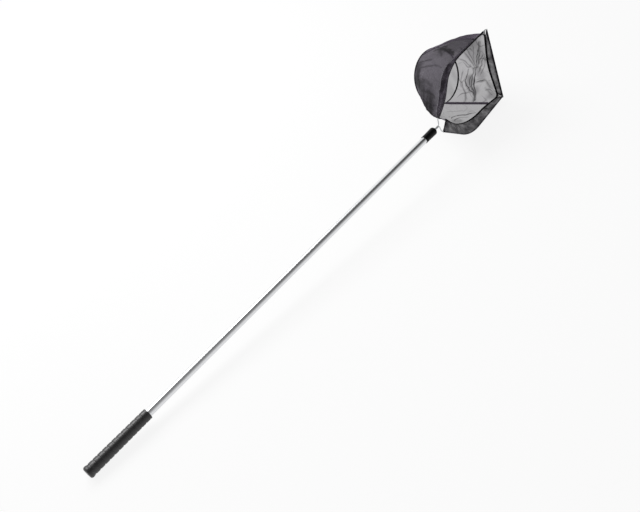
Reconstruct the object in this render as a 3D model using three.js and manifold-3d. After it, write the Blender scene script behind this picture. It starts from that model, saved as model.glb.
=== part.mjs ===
// A pond algae net: an aluminium pole with a slip-on grip, a capped wire hoop and a sewn mesh bag.
// Lengths are in millimetres and +Z is up. The net lies on its side, as it rests on a table:
// the grip's butt, the hoop's lower arm and the bag's bottom touch the ground.
import * as THREE from "three";
import { mergeVertices } from "three/addons/utils/BufferGeometryUtils.js";
import Module from "manifold-3d";

// Clearances shared by every fit
const seatGap = 0.3;
const cutOverrun = 2;

// Handle, measured from the butt's end face
const handleLength = 1177;
const poleDiameter = 18;
const poleWall = 1.2;
const poleSides = 32;

// Grip: a moulded sleeve with shallow rings, closed at the butt
const gripLength = 163.5;
const gripButtDiameter = 27.8;
const gripBodyDiameter = 26.4;
const gripFrontDiameter = 24.7;
const gripButtRound = 4.5;
const gripButtBead = 7;
const gripEndWall = 4;
const gripRingCount = 11;
const gripRingDepth = 0.55;
const gripRingMargin = 5;
const gripGrooveShare = 0.4;
const gripFrontRound = 0.8;
const gripSides = 28;

// Collar: a cap on the pole's end that the hoop's two shanks come out of
const collarLength = 45.5;
const collarWall = 0.9;
const collarNoseWall = 5;
const collarNoseRound = 6;
const collarNoseFlat = 3;
const collarDomeEndDeg = 12;
const collarSwell = 0.6;
const collarSides = 28;
const poleToNoseWall = 1;

// Plug: a turned piece inside the pole's end that grips the shanks
const plugLength = 34;
const plugChamfer = 1;
const shankInPlug = 24;

// Hoop wire
const wireDiameter = 2.8;
const wireSides = 8;
const shankSpacing = 3.5;
const shankOut = 20.8;
const shankElbow = 5;
const yokeLean = 3;
const yokeHalf = 20;
const yokeElbow = 12;
const hoopLength = 300;
const hoopHalfWidth = 112;
const barHalfWidth = 107;
const shoulderForward = 117;
const shoulderRadius = 120;
const cornerRadius = 7;
const crankDeg = 4.2;

// Hem: a folded band of cloth round the wire, with the two layers sewn below it
const hemCloth = 0.7;
const hemStripThick = 1.5;
const hemFlareShare = 0.32;
const hemStart = 8;
const upperHemBare = 18;
const lowerHemBare = 8;
const barHemBare = 8;
const gussetTop = 3.2;
const gussetGap = 2.4;
const gussetRows = 4;
const hemFoldFromDeg = 150;
const hemFoldToDeg = 390;
const hemFoldSteps = 8;

// Mouth's edge, where the hem ends and the bag begins, as distances from the hoop's corners
const upperEdgeOff = {
  yoke: { forward: 19, inward: 11, depth: 17 },
  shoulder: { forward: -25, inward: 7, depth: 22 },
  flank: { forward: -78, inward: 1, depth: 21 },
  corner: { forward: 0, inward: 14, depth: 8 },
};
const lowerEdgeOff = {
  yoke: { forward: 43, inward: 8, depth: 12 },
  shoulder: { forward: -2, inward: 15, depth: 24 },
  flank: { forward: -75, inward: 8, depth: 20 },
  corner: { forward: -3, inward: 2, depth: 13 },
};
const barEdgeBack = 8.5;
const barEdgeDepth = 17.5;
const edgeRadii = {
  yoke: 10,
  upperShoulder: 60,
  flank: 100,
  upperCorner: 14,
  bar: 300,
  lowerCorner: 8,
  lowerShoulder: 190,
};

// Seams
const seamDiameter = 2.2;
const joinDiameter = 3.2;
const joinClearShare = 1.7;
const bindingDiameter = 3;
const seamSides = 6;
const joinSides = 8;
const joinSteps = 10;

// Bag, measured from the hoop's plane and its junction
const clothThick = 1.2;
const bottomRadius = 81;
const bottomForward = 223;
const bottomDepth = 145;
const bottomTiltFrontDeg = -10;
const bottomTiltSideDeg = 12;
const bottomDome = 7;
const joinFromCorner = 36;
const joinFootDeg = 100;
const upperBulge = 12;
const lowerBulge = 2;
const frontBulge = 5;
const upperJoinBulge = 13;
const backJoinBulge = 14;
const bulgePeakShare = 0.4;
const wallSwellShares = { forward: -0.5, outward: 1 };
const upperJoinShares = { forward: 0.4, outward: 1 };
const backJoinShares = { forward: -1, outward: -0.5 };
const sideWallColumns = 26;
const frontWallColumns = 36;
const wallRows = 8;
const bottomSectors = 36;
const bottomRings = 5;
const bindingSteps = 48;
const armRestForward = 180;

const wireRadius = wireDiameter / 2;
const poleRadius = poleDiameter / 2;
const crank = THREE.MathUtils.degToRad(crankDeg);
const seamRadius = seamDiameter / 2;
const bindingRadius = bindingDiameter / 2;
const hemBore = wireRadius + seatGap;
const hemOuter = hemBore + hemCloth;
const joinRadius = joinDiameter / 2;
const joinClear = (joinRadius + seatGap) * joinClearShare;

const wasm = await Module();
wasm.setup();

// Closed solids from plain geometry, for the cuts
function solidOf(geometry) {
  const bare = geometry.clone();
  bare.deleteAttribute("normal");
  bare.deleteAttribute("uv");
  const merged = mergeVertices(bare, 1e-4);
  return new wasm.Manifold(
    new wasm.Mesh({
      numProp: 3,
      vertProperties: new Float32Array(merged.attributes.position.array),
      triVerts: new Uint32Array(merged.index.array),
    }),
  );
}

function geometryOf(solid) {
  const mesh = solid.getMesh();
  const geometry = new THREE.BufferGeometry();
  geometry.setAttribute("position", new THREE.BufferAttribute(mesh.vertProperties, 3));
  geometry.setIndex(new THREE.BufferAttribute(mesh.triVerts, 1));
  geometry.computeVertexNormals();
  return geometry;
}

function cut(body, tools) {
  const solid = tools.reduce((left, tool) => left.subtract(solidOf(tool)), solidOf(body));
  return geometryOf(solid);
}

// A turned piece along +X, from profile points given as [along, radius]
function turned(profile, sides) {
  const points = profile.map(([along, radius]) => new THREE.Vector2(radius, along));
  return facingOut(new THREE.LatheGeometry(points, sides).rotateZ(-Math.PI / 2));
}

// A round corner of a turned profile, from one axis direction to the other
function roundCorner(centreAlong, centreRadius, radius, fromDeg, toDeg, steps) {
  return Array.from({ length: steps + 1 }, (_, i) => {
    const angle = THREE.MathUtils.degToRad(fromDeg + ((toDeg - fromDeg) * i) / steps);
    return [centreAlong + radius * Math.cos(angle), centreRadius + radius * Math.sin(angle)];
  });
}

// Turns every face round if the geometry encloses a negative volume
function facingOut(geometry) {
  const flat = geometry.index ? geometry.toNonIndexed() : geometry;
  const position = flat.attributes.position;
  const a = new THREE.Vector3();
  const b = new THREE.Vector3();
  const c = new THREE.Vector3();
  let volume = 0;
  for (let i = 0; i < position.count; i += 3) {
    a.fromBufferAttribute(position, i);
    b.fromBufferAttribute(position, i + 1);
    c.fromBufferAttribute(position, i + 2);
    volume += a.dot(b.cross(c));
  }
  if (volume >= 0) return geometry;
  const index = geometry.index;
  for (let i = 0; i < index.count; i += 3) {
    const first = index.getX(i);
    index.setX(i, index.getX(i + 1));
    index.setX(i + 1, first);
  }
  geometry.computeVertexNormals();
  return geometry;
}

function meshGeometry(points, triangles) {
  const geometry = new THREE.BufferGeometry().setFromPoints(points);
  geometry.setIndex(triangles);
  geometry.computeVertexNormals();
  return facingOut(geometry);
}

// Straight runs joined by arcs. Every run and arc gets the same number of steps on any path
// with as many corners, so that two such paths can be matched point by point.
function filletedPath(corners, radii, lineSteps, arcSteps) {
  const path = [];
  let from = corners[0];
  for (let k = 1; k < corners.length - 1; k++) {
    const corner = corners[k];
    const before = corner.clone().sub(corners[k - 1]).normalize();
    const after = corners[k + 1].clone().sub(corner).normalize();
    const turn = before.angleTo(after);
    const reach = radii[k - 1] * Math.tan(turn / 2);
    const start = corner.clone().addScaledVector(before, -reach);
    const inward = after.clone().addScaledVector(before, -before.dot(after)).normalize();
    const centre = start.clone().addScaledVector(inward, radii[k - 1]);
    for (let i = 0; i < lineSteps[k - 1]; i++) {
      path.push(from.clone().lerp(start, i / lineSteps[k - 1]));
    }
    for (let i = 0; i < arcSteps; i++) {
      const angle = (turn * i) / arcSteps;
      const spoke = inward.clone().multiplyScalar(-Math.cos(angle));
      spoke.addScaledVector(before, Math.sin(angle));
      path.push(centre.clone().addScaledVector(spoke, radii[k - 1]));
    }
    from = corner.clone().addScaledVector(after, reach);
  }
  const lastSteps = lineSteps[corners.length - 2];
  const last = corners[corners.length - 1];
  for (let i = 0; i <= lastSteps; i++) {
    path.push(from.clone().lerp(last, i / lastSteps));
  }
  return path;
}

// The same polyline with even steps, less a trim at each end
function resampled(path, startTrim, endTrim, steps) {
  const along = [0];
  for (let i = 1; i < path.length; i++) {
    along.push(along[i - 1] + path[i].distanceTo(path[i - 1]));
  }
  const total = along[along.length - 1];
  let k = 0;
  return Array.from({ length: steps + 1 }, (_, i) => {
    const want = startTrim + ((total - startTrim - endTrim) * i) / steps;
    while (k < path.length - 2 && along[k + 1] < want) k++;
    const share = (want - along[k]) / (along[k + 1] - along[k]);
    return path[k].clone().lerp(path[k + 1], share);
  });
}

function tangents(path, closed = false) {
  const last = path.length - 1;
  return path.map((_, i) => {
    const before = closed ? path[(i + last) % path.length] : path[Math.max(i - 1, 0)];
    const after = closed ? path[(i + 1) % path.length] : path[Math.min(i + 1, last)];
    return after.clone().sub(before).normalize();
  });
}

// A section carried along a path, one outline for all of it or one for each point. frames gives
// two cross directions at each point, and the tangent where an outline has a third number.
// hole is an inner outline, open from end to end.
function swept(path, frames, section, hole = null, closed = false) {
  const outlineAt = (i) => (typeof section === "function" ? section(i) : section);
  const points = [];
  const triangles = [];
  const rings = path.length;
  const carry = (outlineOf, inward) => {
    const first = points.length;
    for (let i = 0; i < rings; i++) {
      for (const [u, v, w] of outlineOf(i)) {
        const point = path[i].clone().addScaledVector(frames[i].across, u);
        point.addScaledVector(frames[i].along, v);
        if (w) point.addScaledVector(frames[i].tangent, w);
        points.push(point);
      }
    }
    const sides = outlineOf(0).length;
    for (let i = 0; i < (closed ? rings : rings - 1); i++) {
      for (let j = 0; j < sides; j++) {
        const near = first + i * sides;
        const far = first + ((i + 1) % rings) * sides;
        const next = (j + 1) % sides;
        const quad = [near + j, near + next, far + next, far + j];
        if (inward) quad.reverse();
        triangles.push(quad[0], quad[1], quad[2], quad[0], quad[2], quad[3]);
      }
    }
    return first;
  };
  const outerFirst = carry(outlineAt, false);
  const holeFirst = hole ? carry(() => hole, true) : 0;
  const flat = (outline) => outline.map(([u, v]) => new THREE.Vector2(u, v));
  const cap = (ring) => {
    const outline = outlineAt(ring);
    const at = (n) =>
      n < outline.length
        ? outerFirst + ring * outline.length + n
        : holeFirst + ring * hole.length + n - outline.length;
    for (const face of THREE.ShapeUtils.triangulateShape(flat(outline), hole ? [flat(hole)] : [])) {
      const corners = face.map(at);
      if (ring === 0) corners.reverse();
      triangles.push(...corners);
    }
  };
  if (!closed) {
    cap(0);
    cap(rings - 1);
  }
  return meshGeometry(points, triangles);
}

function circle(radius, sides, phase = 0) {
  return Array.from({ length: sides }, (_, i) => {
    const angle = phase + (2 * Math.PI * i) / sides;
    return [radius * Math.cos(angle), radius * Math.sin(angle)];
  });
}

// Frames with one fixed direction kept square to the path
function framesFrom(path, fixed, closed = false) {
  return tangents(path, closed).map((tangent) => {
    const along = fixed.clone().addScaledVector(tangent, -fixed.dot(tangent)).normalize();
    return { along, across: new THREE.Vector3().crossVectors(along, tangent) };
  });
}

// A cloth panel with a thickness, from a grid of points on its middle surface
function panel(grid, thickness) {
  const rows = grid.length;
  const columns = grid[0].length;
  const normals = grid.map((row, i) =>
    row.map((_, j) => {
      const down = grid[Math.min(i + 1, rows - 1)][j].clone().sub(grid[Math.max(i - 1, 0)][j]);
      const over = row[Math.min(j + 1, columns - 1)].clone().sub(row[Math.max(j - 1, 0)]);
      return down.cross(over).normalize();
    }),
  );
  const points = [];
  for (const side of [0.5, -0.5]) {
    grid.forEach((row, i) =>
      row.forEach((point, j) =>
        points.push(point.clone().addScaledVector(normals[i][j], side * thickness)),
      ),
    );
  }
  const at = (layer, i, j) => layer * rows * columns + i * columns + j;
  const triangles = [];
  const quad = (a, b, c, d) => triangles.push(a, b, c, a, c, d);
  for (let i = 0; i < rows - 1; i++) {
    for (let j = 0; j < columns - 1; j++) {
      quad(at(0, i, j), at(0, i + 1, j), at(0, i + 1, j + 1), at(0, i, j + 1));
      quad(at(1, i, j + 1), at(1, i + 1, j + 1), at(1, i + 1, j), at(1, i, j));
    }
  }
  for (let j = 0; j < columns - 1; j++) {
    quad(at(0, 0, j + 1), at(1, 0, j + 1), at(1, 0, j), at(0, 0, j));
    quad(at(0, rows - 1, j), at(1, rows - 1, j), at(1, rows - 1, j + 1), at(0, rows - 1, j + 1));
  }
  for (let i = 0; i < rows - 1; i++) {
    quad(at(0, i, 0), at(1, i, 0), at(1, i + 1, 0), at(0, i + 1, 0));
    quad(
      at(0, i + 1, columns - 1),
      at(1, i + 1, columns - 1),
      at(1, i, columns - 1),
      at(0, i, columns - 1),
    );
  }
  return meshGeometry(points, triangles);
}

// Handle pieces, built along +X from the butt
const collarStart = handleLength - collarLength;
const poleEnd = handleLength - collarNoseWall - poleToNoseWall;
const boreRadius = poleRadius + seatGap;

function poleTube() {
  const outer = poleRadius;
  const inner = poleRadius - poleWall;
  const start = gripEndWall + seatGap;
  const profile = [
    [start, inner],
    [start, outer],
    [poleEnd, outer],
    [poleEnd, inner],
    [start, inner],
  ];
  return turned(profile, poleSides);
}

function gripSleeve() {
  const butt = gripButtDiameter / 2;
  const round = roundCorner(gripButtRound, butt - gripButtRound, gripButtRound, 180, 90, 4);
  const profile = [[0, 0], ...round, [gripButtBead, butt]];
  const ringStart = gripButtBead + gripRingMargin;
  const pitch = (gripLength - gripRingMargin - ringStart) / gripRingCount;
  const radiusAt = (along) => {
    const share = (along - ringStart) / (gripLength - ringStart);
    return THREE.MathUtils.lerp(gripBodyDiameter, gripFrontDiameter, share) / 2;
  };
  const groove = pitch * gripGrooveShare;
  for (let i = 0; i < gripRingCount; i++) {
    const from = ringStart + i * pitch;
    profile.push([from, radiusAt(from) - gripRingDepth]);
    profile.push([from + groove / 2, radiusAt(from)]);
    profile.push([from + pitch - groove / 2, radiusAt(from + pitch)]);
  }
  const lastRing = ringStart + gripRingCount * pitch;
  profile.push([lastRing, radiusAt(lastRing) - gripRingDepth]);
  profile.push([lastRing + groove / 2, radiusAt(lastRing)]);
  profile.push([gripLength - gripFrontRound, radiusAt(gripLength)]);
  profile.push([gripLength, radiusAt(gripLength) - gripFrontRound]);
  profile.push([gripLength, boreRadius], [gripEndWall, boreRadius], [gripEndWall, 0]);
  return turned(profile, gripSides);
}

function shankHoles(from, length) {
  return [-1, 1].map((side) =>
    new THREE.CylinderGeometry(hemBore, hemBore, length, wireSides * 2)
      .rotateZ(Math.PI / 2)
      .translate(from + length / 2, 0, (side * shankSpacing) / 2),
  );
}

function endCollar() {
  const outer = boreRadius + collarWall;
  const nose = outer + collarSwell;
  const start = collarStart;
  const shoulder = handleLength - collarNoseRound;
  const centre = nose - collarNoseRound;
  const dome = roundCorner(shoulder, centre, collarNoseRound, 90, collarDomeEndDeg, 5);
  const profile = [
    [start, boreRadius],
    [start, outer],
    ...dome,
    [handleLength, collarNoseFlat],
    [handleLength, 0],
    [handleLength - collarNoseWall, 0],
    [handleLength - collarNoseWall, boreRadius],
    [start, boreRadius],
  ];
  const length = collarNoseWall + cutOverrun * 2;
  const holes = shankHoles(handleLength - collarNoseWall - cutOverrun, length);
  return cut(turned(profile, collarSides), holes);
}

function wirePlug() {
  const radius = poleRadius - poleWall - seatGap;
  const start = poleEnd - plugLength;
  const profile = [
    [start, 0],
    [start, radius - plugChamfer],
    [start + plugChamfer, radius],
    [poleEnd, radius],
    [poleEnd, 0],
  ];
  const depth = shankInPlug + seatGap;
  const holes = shankHoles(poleEnd - depth, depth + cutOverrun);
  return cut(turned(profile, collarSides), holes);
}

// Hoop outline in its own plane, as (forward, 0, sideways), with depth into the bag on +Y
const up = 1;
const down = -1;
const depthAxis = new THREE.Vector3(0, 1, 0);
const shankLength = shankOut + collarNoseWall + poleToNoseWall + shankInPlug;

function inPlane(forward, sideways, depth = 0) {
  return new THREE.Vector3(forward, depth, sideways);
}

function hoopCorners(side) {
  return [
    inPlane(0, (side * shankSpacing) / 2),
    inPlane(yokeLean, side * yokeHalf),
    inPlane(shoulderForward, side * hoopHalfWidth),
    inPlane(hoopLength, side * barHalfWidth),
  ];
}

function frameWire() {
  const back = -shankLength * Math.cos(crank);
  const drop = shankLength * Math.sin(crank);
  const shankEnd = (side) => inPlane(back, (side * shankSpacing) / 2, drop);
  const corners = [
    shankEnd(up),
    ...hoopCorners(up),
    ...hoopCorners(down).reverse(),
    shankEnd(down),
  ];
  const sideRadii = [shankElbow, yokeElbow, shoulderRadius, cornerRadius];
  const radii = [...sideRadii, ...sideRadii.slice().reverse()];
  const lineSteps = [2, 1, 3, 5, 6, 5, 3, 1, 2];
  const path = filletedPath(corners, radii, lineSteps, 6);
  return swept(path, framesFrom(path, depthAxis), circle(wireRadius, wireSides));
}

// The mouth's edge all round, from the back middle past the upper corner and the lower one
function edgeCorners(side, offs) {
  const [, yoke, shoulder, corner] = hoopCorners(side);
  const off = (point, { forward, inward, depth }) =>
    point.clone().add(inPlane(forward, -side * inward, depth));
  return [
    off(yoke, offs.yoke),
    off(shoulder, offs.shoulder),
    off(corner, offs.flank),
    off(corner, offs.corner),
  ];
}

const upperEdge = edgeCorners(up, upperEdgeOff);
const lowerEdge = edgeCorners(down, lowerEdgeOff);
const backMiddle = upperEdge[0].clone().lerp(lowerEdge[0], 0.5);
const barMiddle = inPlane(hoopLength - barEdgeBack, 0, barEdgeDepth);
const edgeLineSteps = [2, 5, 3, 3, 6, 6, 3, 3, 5, 2];
const edgeArcSteps = 6;
const mouthEdge = filletedPath(
  [backMiddle, ...upperEdge, barMiddle, ...lowerEdge.reverse(), backMiddle],
  [
    edgeRadii.yoke,
    edgeRadii.upperShoulder,
    edgeRadii.flank,
    edgeRadii.upperCorner,
    edgeRadii.bar,
    edgeRadii.lowerCorner,
    edgeRadii.flank,
    edgeRadii.lowerShoulder,
    edgeRadii.yoke,
  ],
  edgeLineSteps,
  edgeArcSteps,
);

// Where an arc of the mouth's edge starts and ends, as places in mouthEdge
function edgeArc(number) {
  const lines = edgeLineSteps.slice(0, number).reduce((sum, steps) => sum + steps, 0);
  const start = lines + (number - 1) * edgeArcSteps;
  return { start, end: start + edgeArcSteps };
}
const edgeArcs = {
  upperYoke: edgeArc(1),
  upperCorner: edgeArc(4),
  lowerCorner: edgeArc(6),
  lowerYoke: edgeArc(9),
};

function lengthOf(path) {
  return path.slice(1).reduce((sum, point, i) => sum + point.distanceTo(path[i]), 0);
}

// How far along the mouth's edge the two joins are
const mouthLength = lengthOf(mouthEdge);
const cornerAlong = {
  [up]: lengthOf(mouthEdge.slice(0, edgeArcs.upperCorner.start + 1)),
  [down]: lengthOf(mouthEdge.slice(edgeArcs.lowerCorner.end)),
};

// Hem round the wire: a bored fold that narrows to a flat strip
function hemSection(reach) {
  const strip = hemStripThick / 2;
  const flare = reach * hemFlareShare;
  const fold = Array.from({ length: hemFoldSteps + 1 }, (_, i) => {
    const degrees = THREE.MathUtils.lerp(hemFoldFromDeg, hemFoldToDeg, i / hemFoldSteps);
    const angle = THREE.MathUtils.degToRad(degrees);
    return [hemOuter * Math.cos(angle), hemOuter * Math.sin(angle)];
  });
  return [[strip, flare], [strip, reach], [-strip, reach], [-strip, flare], ...fold];
}

// The fold stays square to the wire, and the strip slants along it towards its own edge point
function hem([wirePath, edgePath]) {
  const stripEnd = setBack(edgePath, wirePath, seamRadius + seatGap);
  const frames = tangents(wirePath).map((tangent, i) => {
    const along = stripEnd[i].clone().sub(wirePath[i]).projectOnPlane(tangent).normalize();
    return { along, tangent, across: new THREE.Vector3().crossVectors(along, tangent) };
  });
  const section = (i) => {
    const reach = stripEnd[i].clone().sub(wirePath[i]);
    const square = reach.dot(frames[i].along);
    const slant = reach.dot(frames[i].tangent) / square;
    return hemSection(square).map(([u, v]) => [u, v, v > hemOuter ? v * slant : 0]);
  };
  return swept(wirePath, frames, section, circle(hemBore, wireSides));
}

// The wire under a hem and the hem's edge, point by point
function sideHemPaths(side) {
  const [, yoke, shoulder, corner] = hoopCorners(side);
  const start = yoke.clone().lerp(shoulder, hemStart / yoke.distanceTo(shoulder));
  const bare = side === up ? upperHemBare : lowerHemBare;
  const end = corner.clone().lerp(shoulder, bare / corner.distanceTo(shoulder));
  const [first, second, third] = edgeLineSteps.slice(1, 4);
  const lineSteps = [first, second + edgeArcSteps + third];
  const wire = filletedPath([start, shoulder, end], [shoulderRadius], lineSteps, edgeArcSteps);
  const { upperYoke, upperCorner, lowerCorner, lowerYoke } = edgeArcs;
  if (side === up) return [wire, mouthEdge.slice(upperYoke.end, upperCorner.start + 1)];
  return [wire, mouthEdge.slice(lowerCorner.end, lowerYoke.start + 1).reverse()];
}

function frontHemPaths() {
  const top = hoopCorners(up)[3].lerp(hoopCorners(down)[3], barHemBare / (barHalfWidth * 2));
  const bottom = top.clone().setZ(-top.z);
  const edge = mouthEdge.slice(edgeArcs.upperCorner.end, edgeArcs.lowerCorner.start + 1);
  return [stepsBetween(top, bottom, edge.length - 1), edge];
}

// Cloth across a corner of the mouth, between the two hems' ends and above the bead
function gusset(side) {
  const arc = side === up ? edgeArcs.upperCorner : edgeArcs.lowerCorner;
  const ends = [sideHemPaths(side), frontHemPaths()].map(([wire, edge], i) => {
    const n = i === 0 || side === down ? wire.length - 1 : 0;
    return wire[n].clone().lerp(edge[n], gussetTop / wire[n].distanceTo(edge[n]));
  });
  const path = mouthEdge.slice(arc.start, arc.end + 1);
  if (side === down) path.reverse();
  const top = resampled(ends, gussetGap, gussetGap, edgeArcSteps);
  const arcPoints = resampled(path, gussetGap, gussetGap, edgeArcSteps);
  const bottom = setBack(arcPoints, top, seamRadius + seatGap);
  const grid = Array.from({ length: gussetRows + 1 }, (_, i) =>
    top.map((point, j) => point.clone().lerp(bottom[j], i / gussetRows)),
  );
  return panel(grid, clothThick);
}

function stepsBetween(from, to, steps) {
  return Array.from({ length: steps + 1 }, (_, i) => from.clone().lerp(to, i / steps));
}

// The sewn bead along the mouth's edge: one run over the bar and both corners, one on each side
function seamBead(path) {
  return swept(path, framesFrom(path, depthAxis), circle(seamRadius, seamSides));
}

function frontBead() {
  return seamBead(mouthEdge.slice(edgeArcs.upperCorner.start, edgeArcs.lowerCorner.end + 1));
}

function sideBead(side) {
  const path = sideHemPaths(side)[1];
  return seamBead(resampled(path, 0, seatGap, path.length - 1));
}

// Bag bottom: a round panel, tilted, with a bound edge
const tiltFront = THREE.MathUtils.degToRad(bottomTiltFrontDeg);
const tiltSide = THREE.MathUtils.degToRad(bottomTiltSideDeg);
const bottomCentre = inPlane(bottomForward, 0, bottomDepth);
const bottomFront = new THREE.Vector3(Math.cos(tiltFront), Math.sin(tiltFront), 0);
const bottomFlat = new THREE.Vector3(-Math.sin(tiltFront), Math.cos(tiltFront), 0);
const bottomUp = new THREE.Vector3(0, 0, Math.cos(tiltSide));
bottomUp.addScaledVector(bottomFlat, Math.sin(tiltSide));
const bottomOut = new THREE.Vector3().crossVectors(bottomUp, bottomFront);

function onBottom(angle, radius, lift = 0) {
  const point = bottomCentre.clone().addScaledVector(bottomFront, radius * Math.cos(angle));
  point.addScaledVector(bottomUp, radius * Math.sin(angle));
  return point.addScaledVector(bottomOut, lift);
}

function bottomBinding() {
  const path = Array.from({ length: bindingSteps }, (_, i) =>
    onBottom((2 * Math.PI * i) / bindingSteps, bottomRadius),
  );
  return swept(path, framesFrom(path, bottomOut, true), circle(bindingRadius, seamSides), null, true);
}

function bagBottom() {
  const reach = bottomRadius - bindingRadius - seatGap;
  const points = [];
  const triangles = [];
  const layer = (side) => {
    const first = points.length;
    points.push(onBottom(0, 0, bottomDome + (side * clothThick) / 2));
    for (let k = 1; k <= bottomRings; k++) {
      const share = k / bottomRings;
      const lift = bottomDome * (1 - share * share) + (side * clothThick) / 2;
      for (let i = 0; i < bottomSectors; i++) {
        points.push(onBottom((2 * Math.PI * i) / bottomSectors, reach * share, lift));
      }
    }
    return first;
  };
  const outer = layer(1);
  const inner = layer(-1);
  const at = (first, k, i) => first + 1 + (k - 1) * bottomSectors + (i % bottomSectors);
  for (let i = 0; i < bottomSectors; i++) {
    triangles.push(outer, at(outer, 1, i), at(outer, 1, i + 1));
    triangles.push(inner, at(inner, 1, i + 1), at(inner, 1, i));
    for (let k = 1; k < bottomRings; k++) {
      const quad = (first) =>
        [at(first, k, i), at(first, k + 1, i), at(first, k + 1, i + 1), at(first, k, i + 1)];
      const [a, b, c, d] = quad(outer);
      triangles.push(a, b, c, a, c, d);
      const [e, f, g, h] = quad(inner);
      triangles.push(h, g, f, h, f, e);
    }
    const [a, b] = [at(outer, bottomRings, i), at(outer, bottomRings, i + 1)];
    const [c, d] = [at(inner, bottomRings, i), at(inner, bottomRings, i + 1)];
    triangles.push(a, c, d, a, d, b);
  }
  return meshGeometry(points, triangles);
}

// Walls between the mouth's edge and the bottom's binding. Each swells most along its middle,
// and its two sides swell with the joins that they are sewn to.
function swellAt(share) {
  return Math.sin(Math.PI * share ** (Math.log(0.5) / Math.log(bulgePeakShare)));
}

// top gives the wall's points along the mouth's edge, already clear of the joins
function wall(top, fromDeg, toDeg, middle, joins) {
  const columns = top.length - 1;
  const trim = joinClear / bottomRadius;
  const from = THREE.MathUtils.degToRad(fromDeg);
  const to = THREE.MathUtils.degToRad(toDeg);
  const turn = Math.sign(to - from) * trim;
  const feet = top.map((_, j) =>
    onBottom(THREE.MathUtils.lerp(from + turn, to - turn, j / columns), bottomRadius),
  );
  const starts = setBack(top, feet, seamRadius + seatGap);
  const ends = setBack(feet, top, bindingRadius + seatGap);
  const grid = [];
  for (let i = 0; i <= wallRows; i++) {
    const swell = swellAt(i / wallRows);
    grid.push(
      starts.map((start, j) => {
        const share = j / columns;
        const point = start.clone().lerp(ends[j], i / wallRows);
        point.addScaledVector(middle, swell * Math.sin(Math.PI * share));
        point.addScaledVector(joins[0], swell * (1 - share) ** 2);
        return point.addScaledVector(joins[1], swell * share ** 2);
      }),
    );
  }
  return panel(grid, clothThick);
}

// A point moved off an edge towards another point, square to the edge
function offEdge(point, other, tangent, distance) {
  const inward = other.clone().sub(point);
  inward.addScaledVector(tangent, -inward.dot(tangent)).normalize();
  return point.clone().addScaledVector(inward, distance);
}

function setBack(edge, other, distance) {
  const tangent = tangents(edge);
  return edge.map((point, j) => offEdge(point, other[j], tangent[j], distance));
}

function swellTowards({ forward, outward }, side, distance) {
  return inPlane(forward, side * outward).setLength(distance);
}

// How far each join bows outward between its ends
const joinBows = {
  [up]: swellTowards(upperJoinShares, up, upperJoinBulge),
  [down]: inPlane(0, 0),
  back: swellTowards(backJoinShares, up, backJoinBulge),
};
const joinAlong = {
  [up]: cornerAlong[up] - joinFromCorner,
  [down]: cornerAlong[down] - joinFromCorner,
};

function sideWall(side) {
  const bulge = swellTowards(wallSwellShares, side, side === up ? upperBulge : lowerBulge);
  const edge = side === up ? mouthEdge : mouthEdge.slice().reverse();
  const endTrim = mouthLength - joinAlong[side] + joinClear;
  const top = resampled(edge, joinClear, endTrim, sideWallColumns);
  return wall(top, side * 180, side * joinFootDeg, bulge, [joinBows.back, joinBows[side]]);
}

function frontWall() {
  const bulge = inPlane(frontBulge, 0);
  const trims = [joinAlong[up] + joinClear, joinAlong[down] + joinClear];
  const top = resampled(mouthEdge, ...trims, frontWallColumns);
  return wall(top, joinFootDeg, -joinFootDeg, bulge, [joinBows[up], joinBows[down]]);
}

// A rolled join from the mouth's edge to the binding, where two walls are sewn together
function joinSeam(top, footDeg, bow) {
  const angle = THREE.MathUtils.degToRad(footDeg);
  const foot = onBottom(angle, bottomRadius);
  const alongBinding = onBottom(angle + Math.PI / 2, bottomRadius).sub(bottomCentre).normalize();
  const along = foot.clone().sub(top).normalize();
  const from = top.clone().addScaledVector(along, seamRadius + seatGap + joinRadius / 2);
  const to = offEdge(foot, top, alongBinding, bindingRadius + seatGap + joinRadius / 2);
  const path = stepsBetween(from, to, joinSteps).map((point, i) =>
    point.addScaledVector(bow, swellAt(i / joinSteps)),
  );
  return swept(path, framesFrom(path, bottomFront), circle(joinRadius, joinSides));
}

function sideJoin(side) {
  const edge = side === up ? mouthEdge : mouthEdge.slice().reverse();
  const [top] = resampled(edge, joinAlong[side], 0, 1);
  return joinSeam(top, side * joinFootDeg, joinBows[side]);
}

function backSeam() {
  return joinSeam(backMiddle, 180, joinBows.back);
}

// Finishes
const finish = (color, roughness, metalness = 0) =>
  new THREE.MeshStandardMaterial({ color, roughness, metalness });

function piece(name, geometry, material) {
  const mesh = new THREE.Mesh(geometry, material);
  mesh.name = name;
  return mesh;
}

const handle = new THREE.Group();
handle.add(
  piece("pole_tube", poleTube(), finish("#c8cacc", 0.32, 1)),
  piece("grip_sleeve", gripSleeve(), finish("#2a2829", 0.6)),
  piece("end_collar", endCollar(), finish("#151516", 0.45)),
  piece("wire_plug", wirePlug(), finish("#b9ab90", 0.8)),
);

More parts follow.
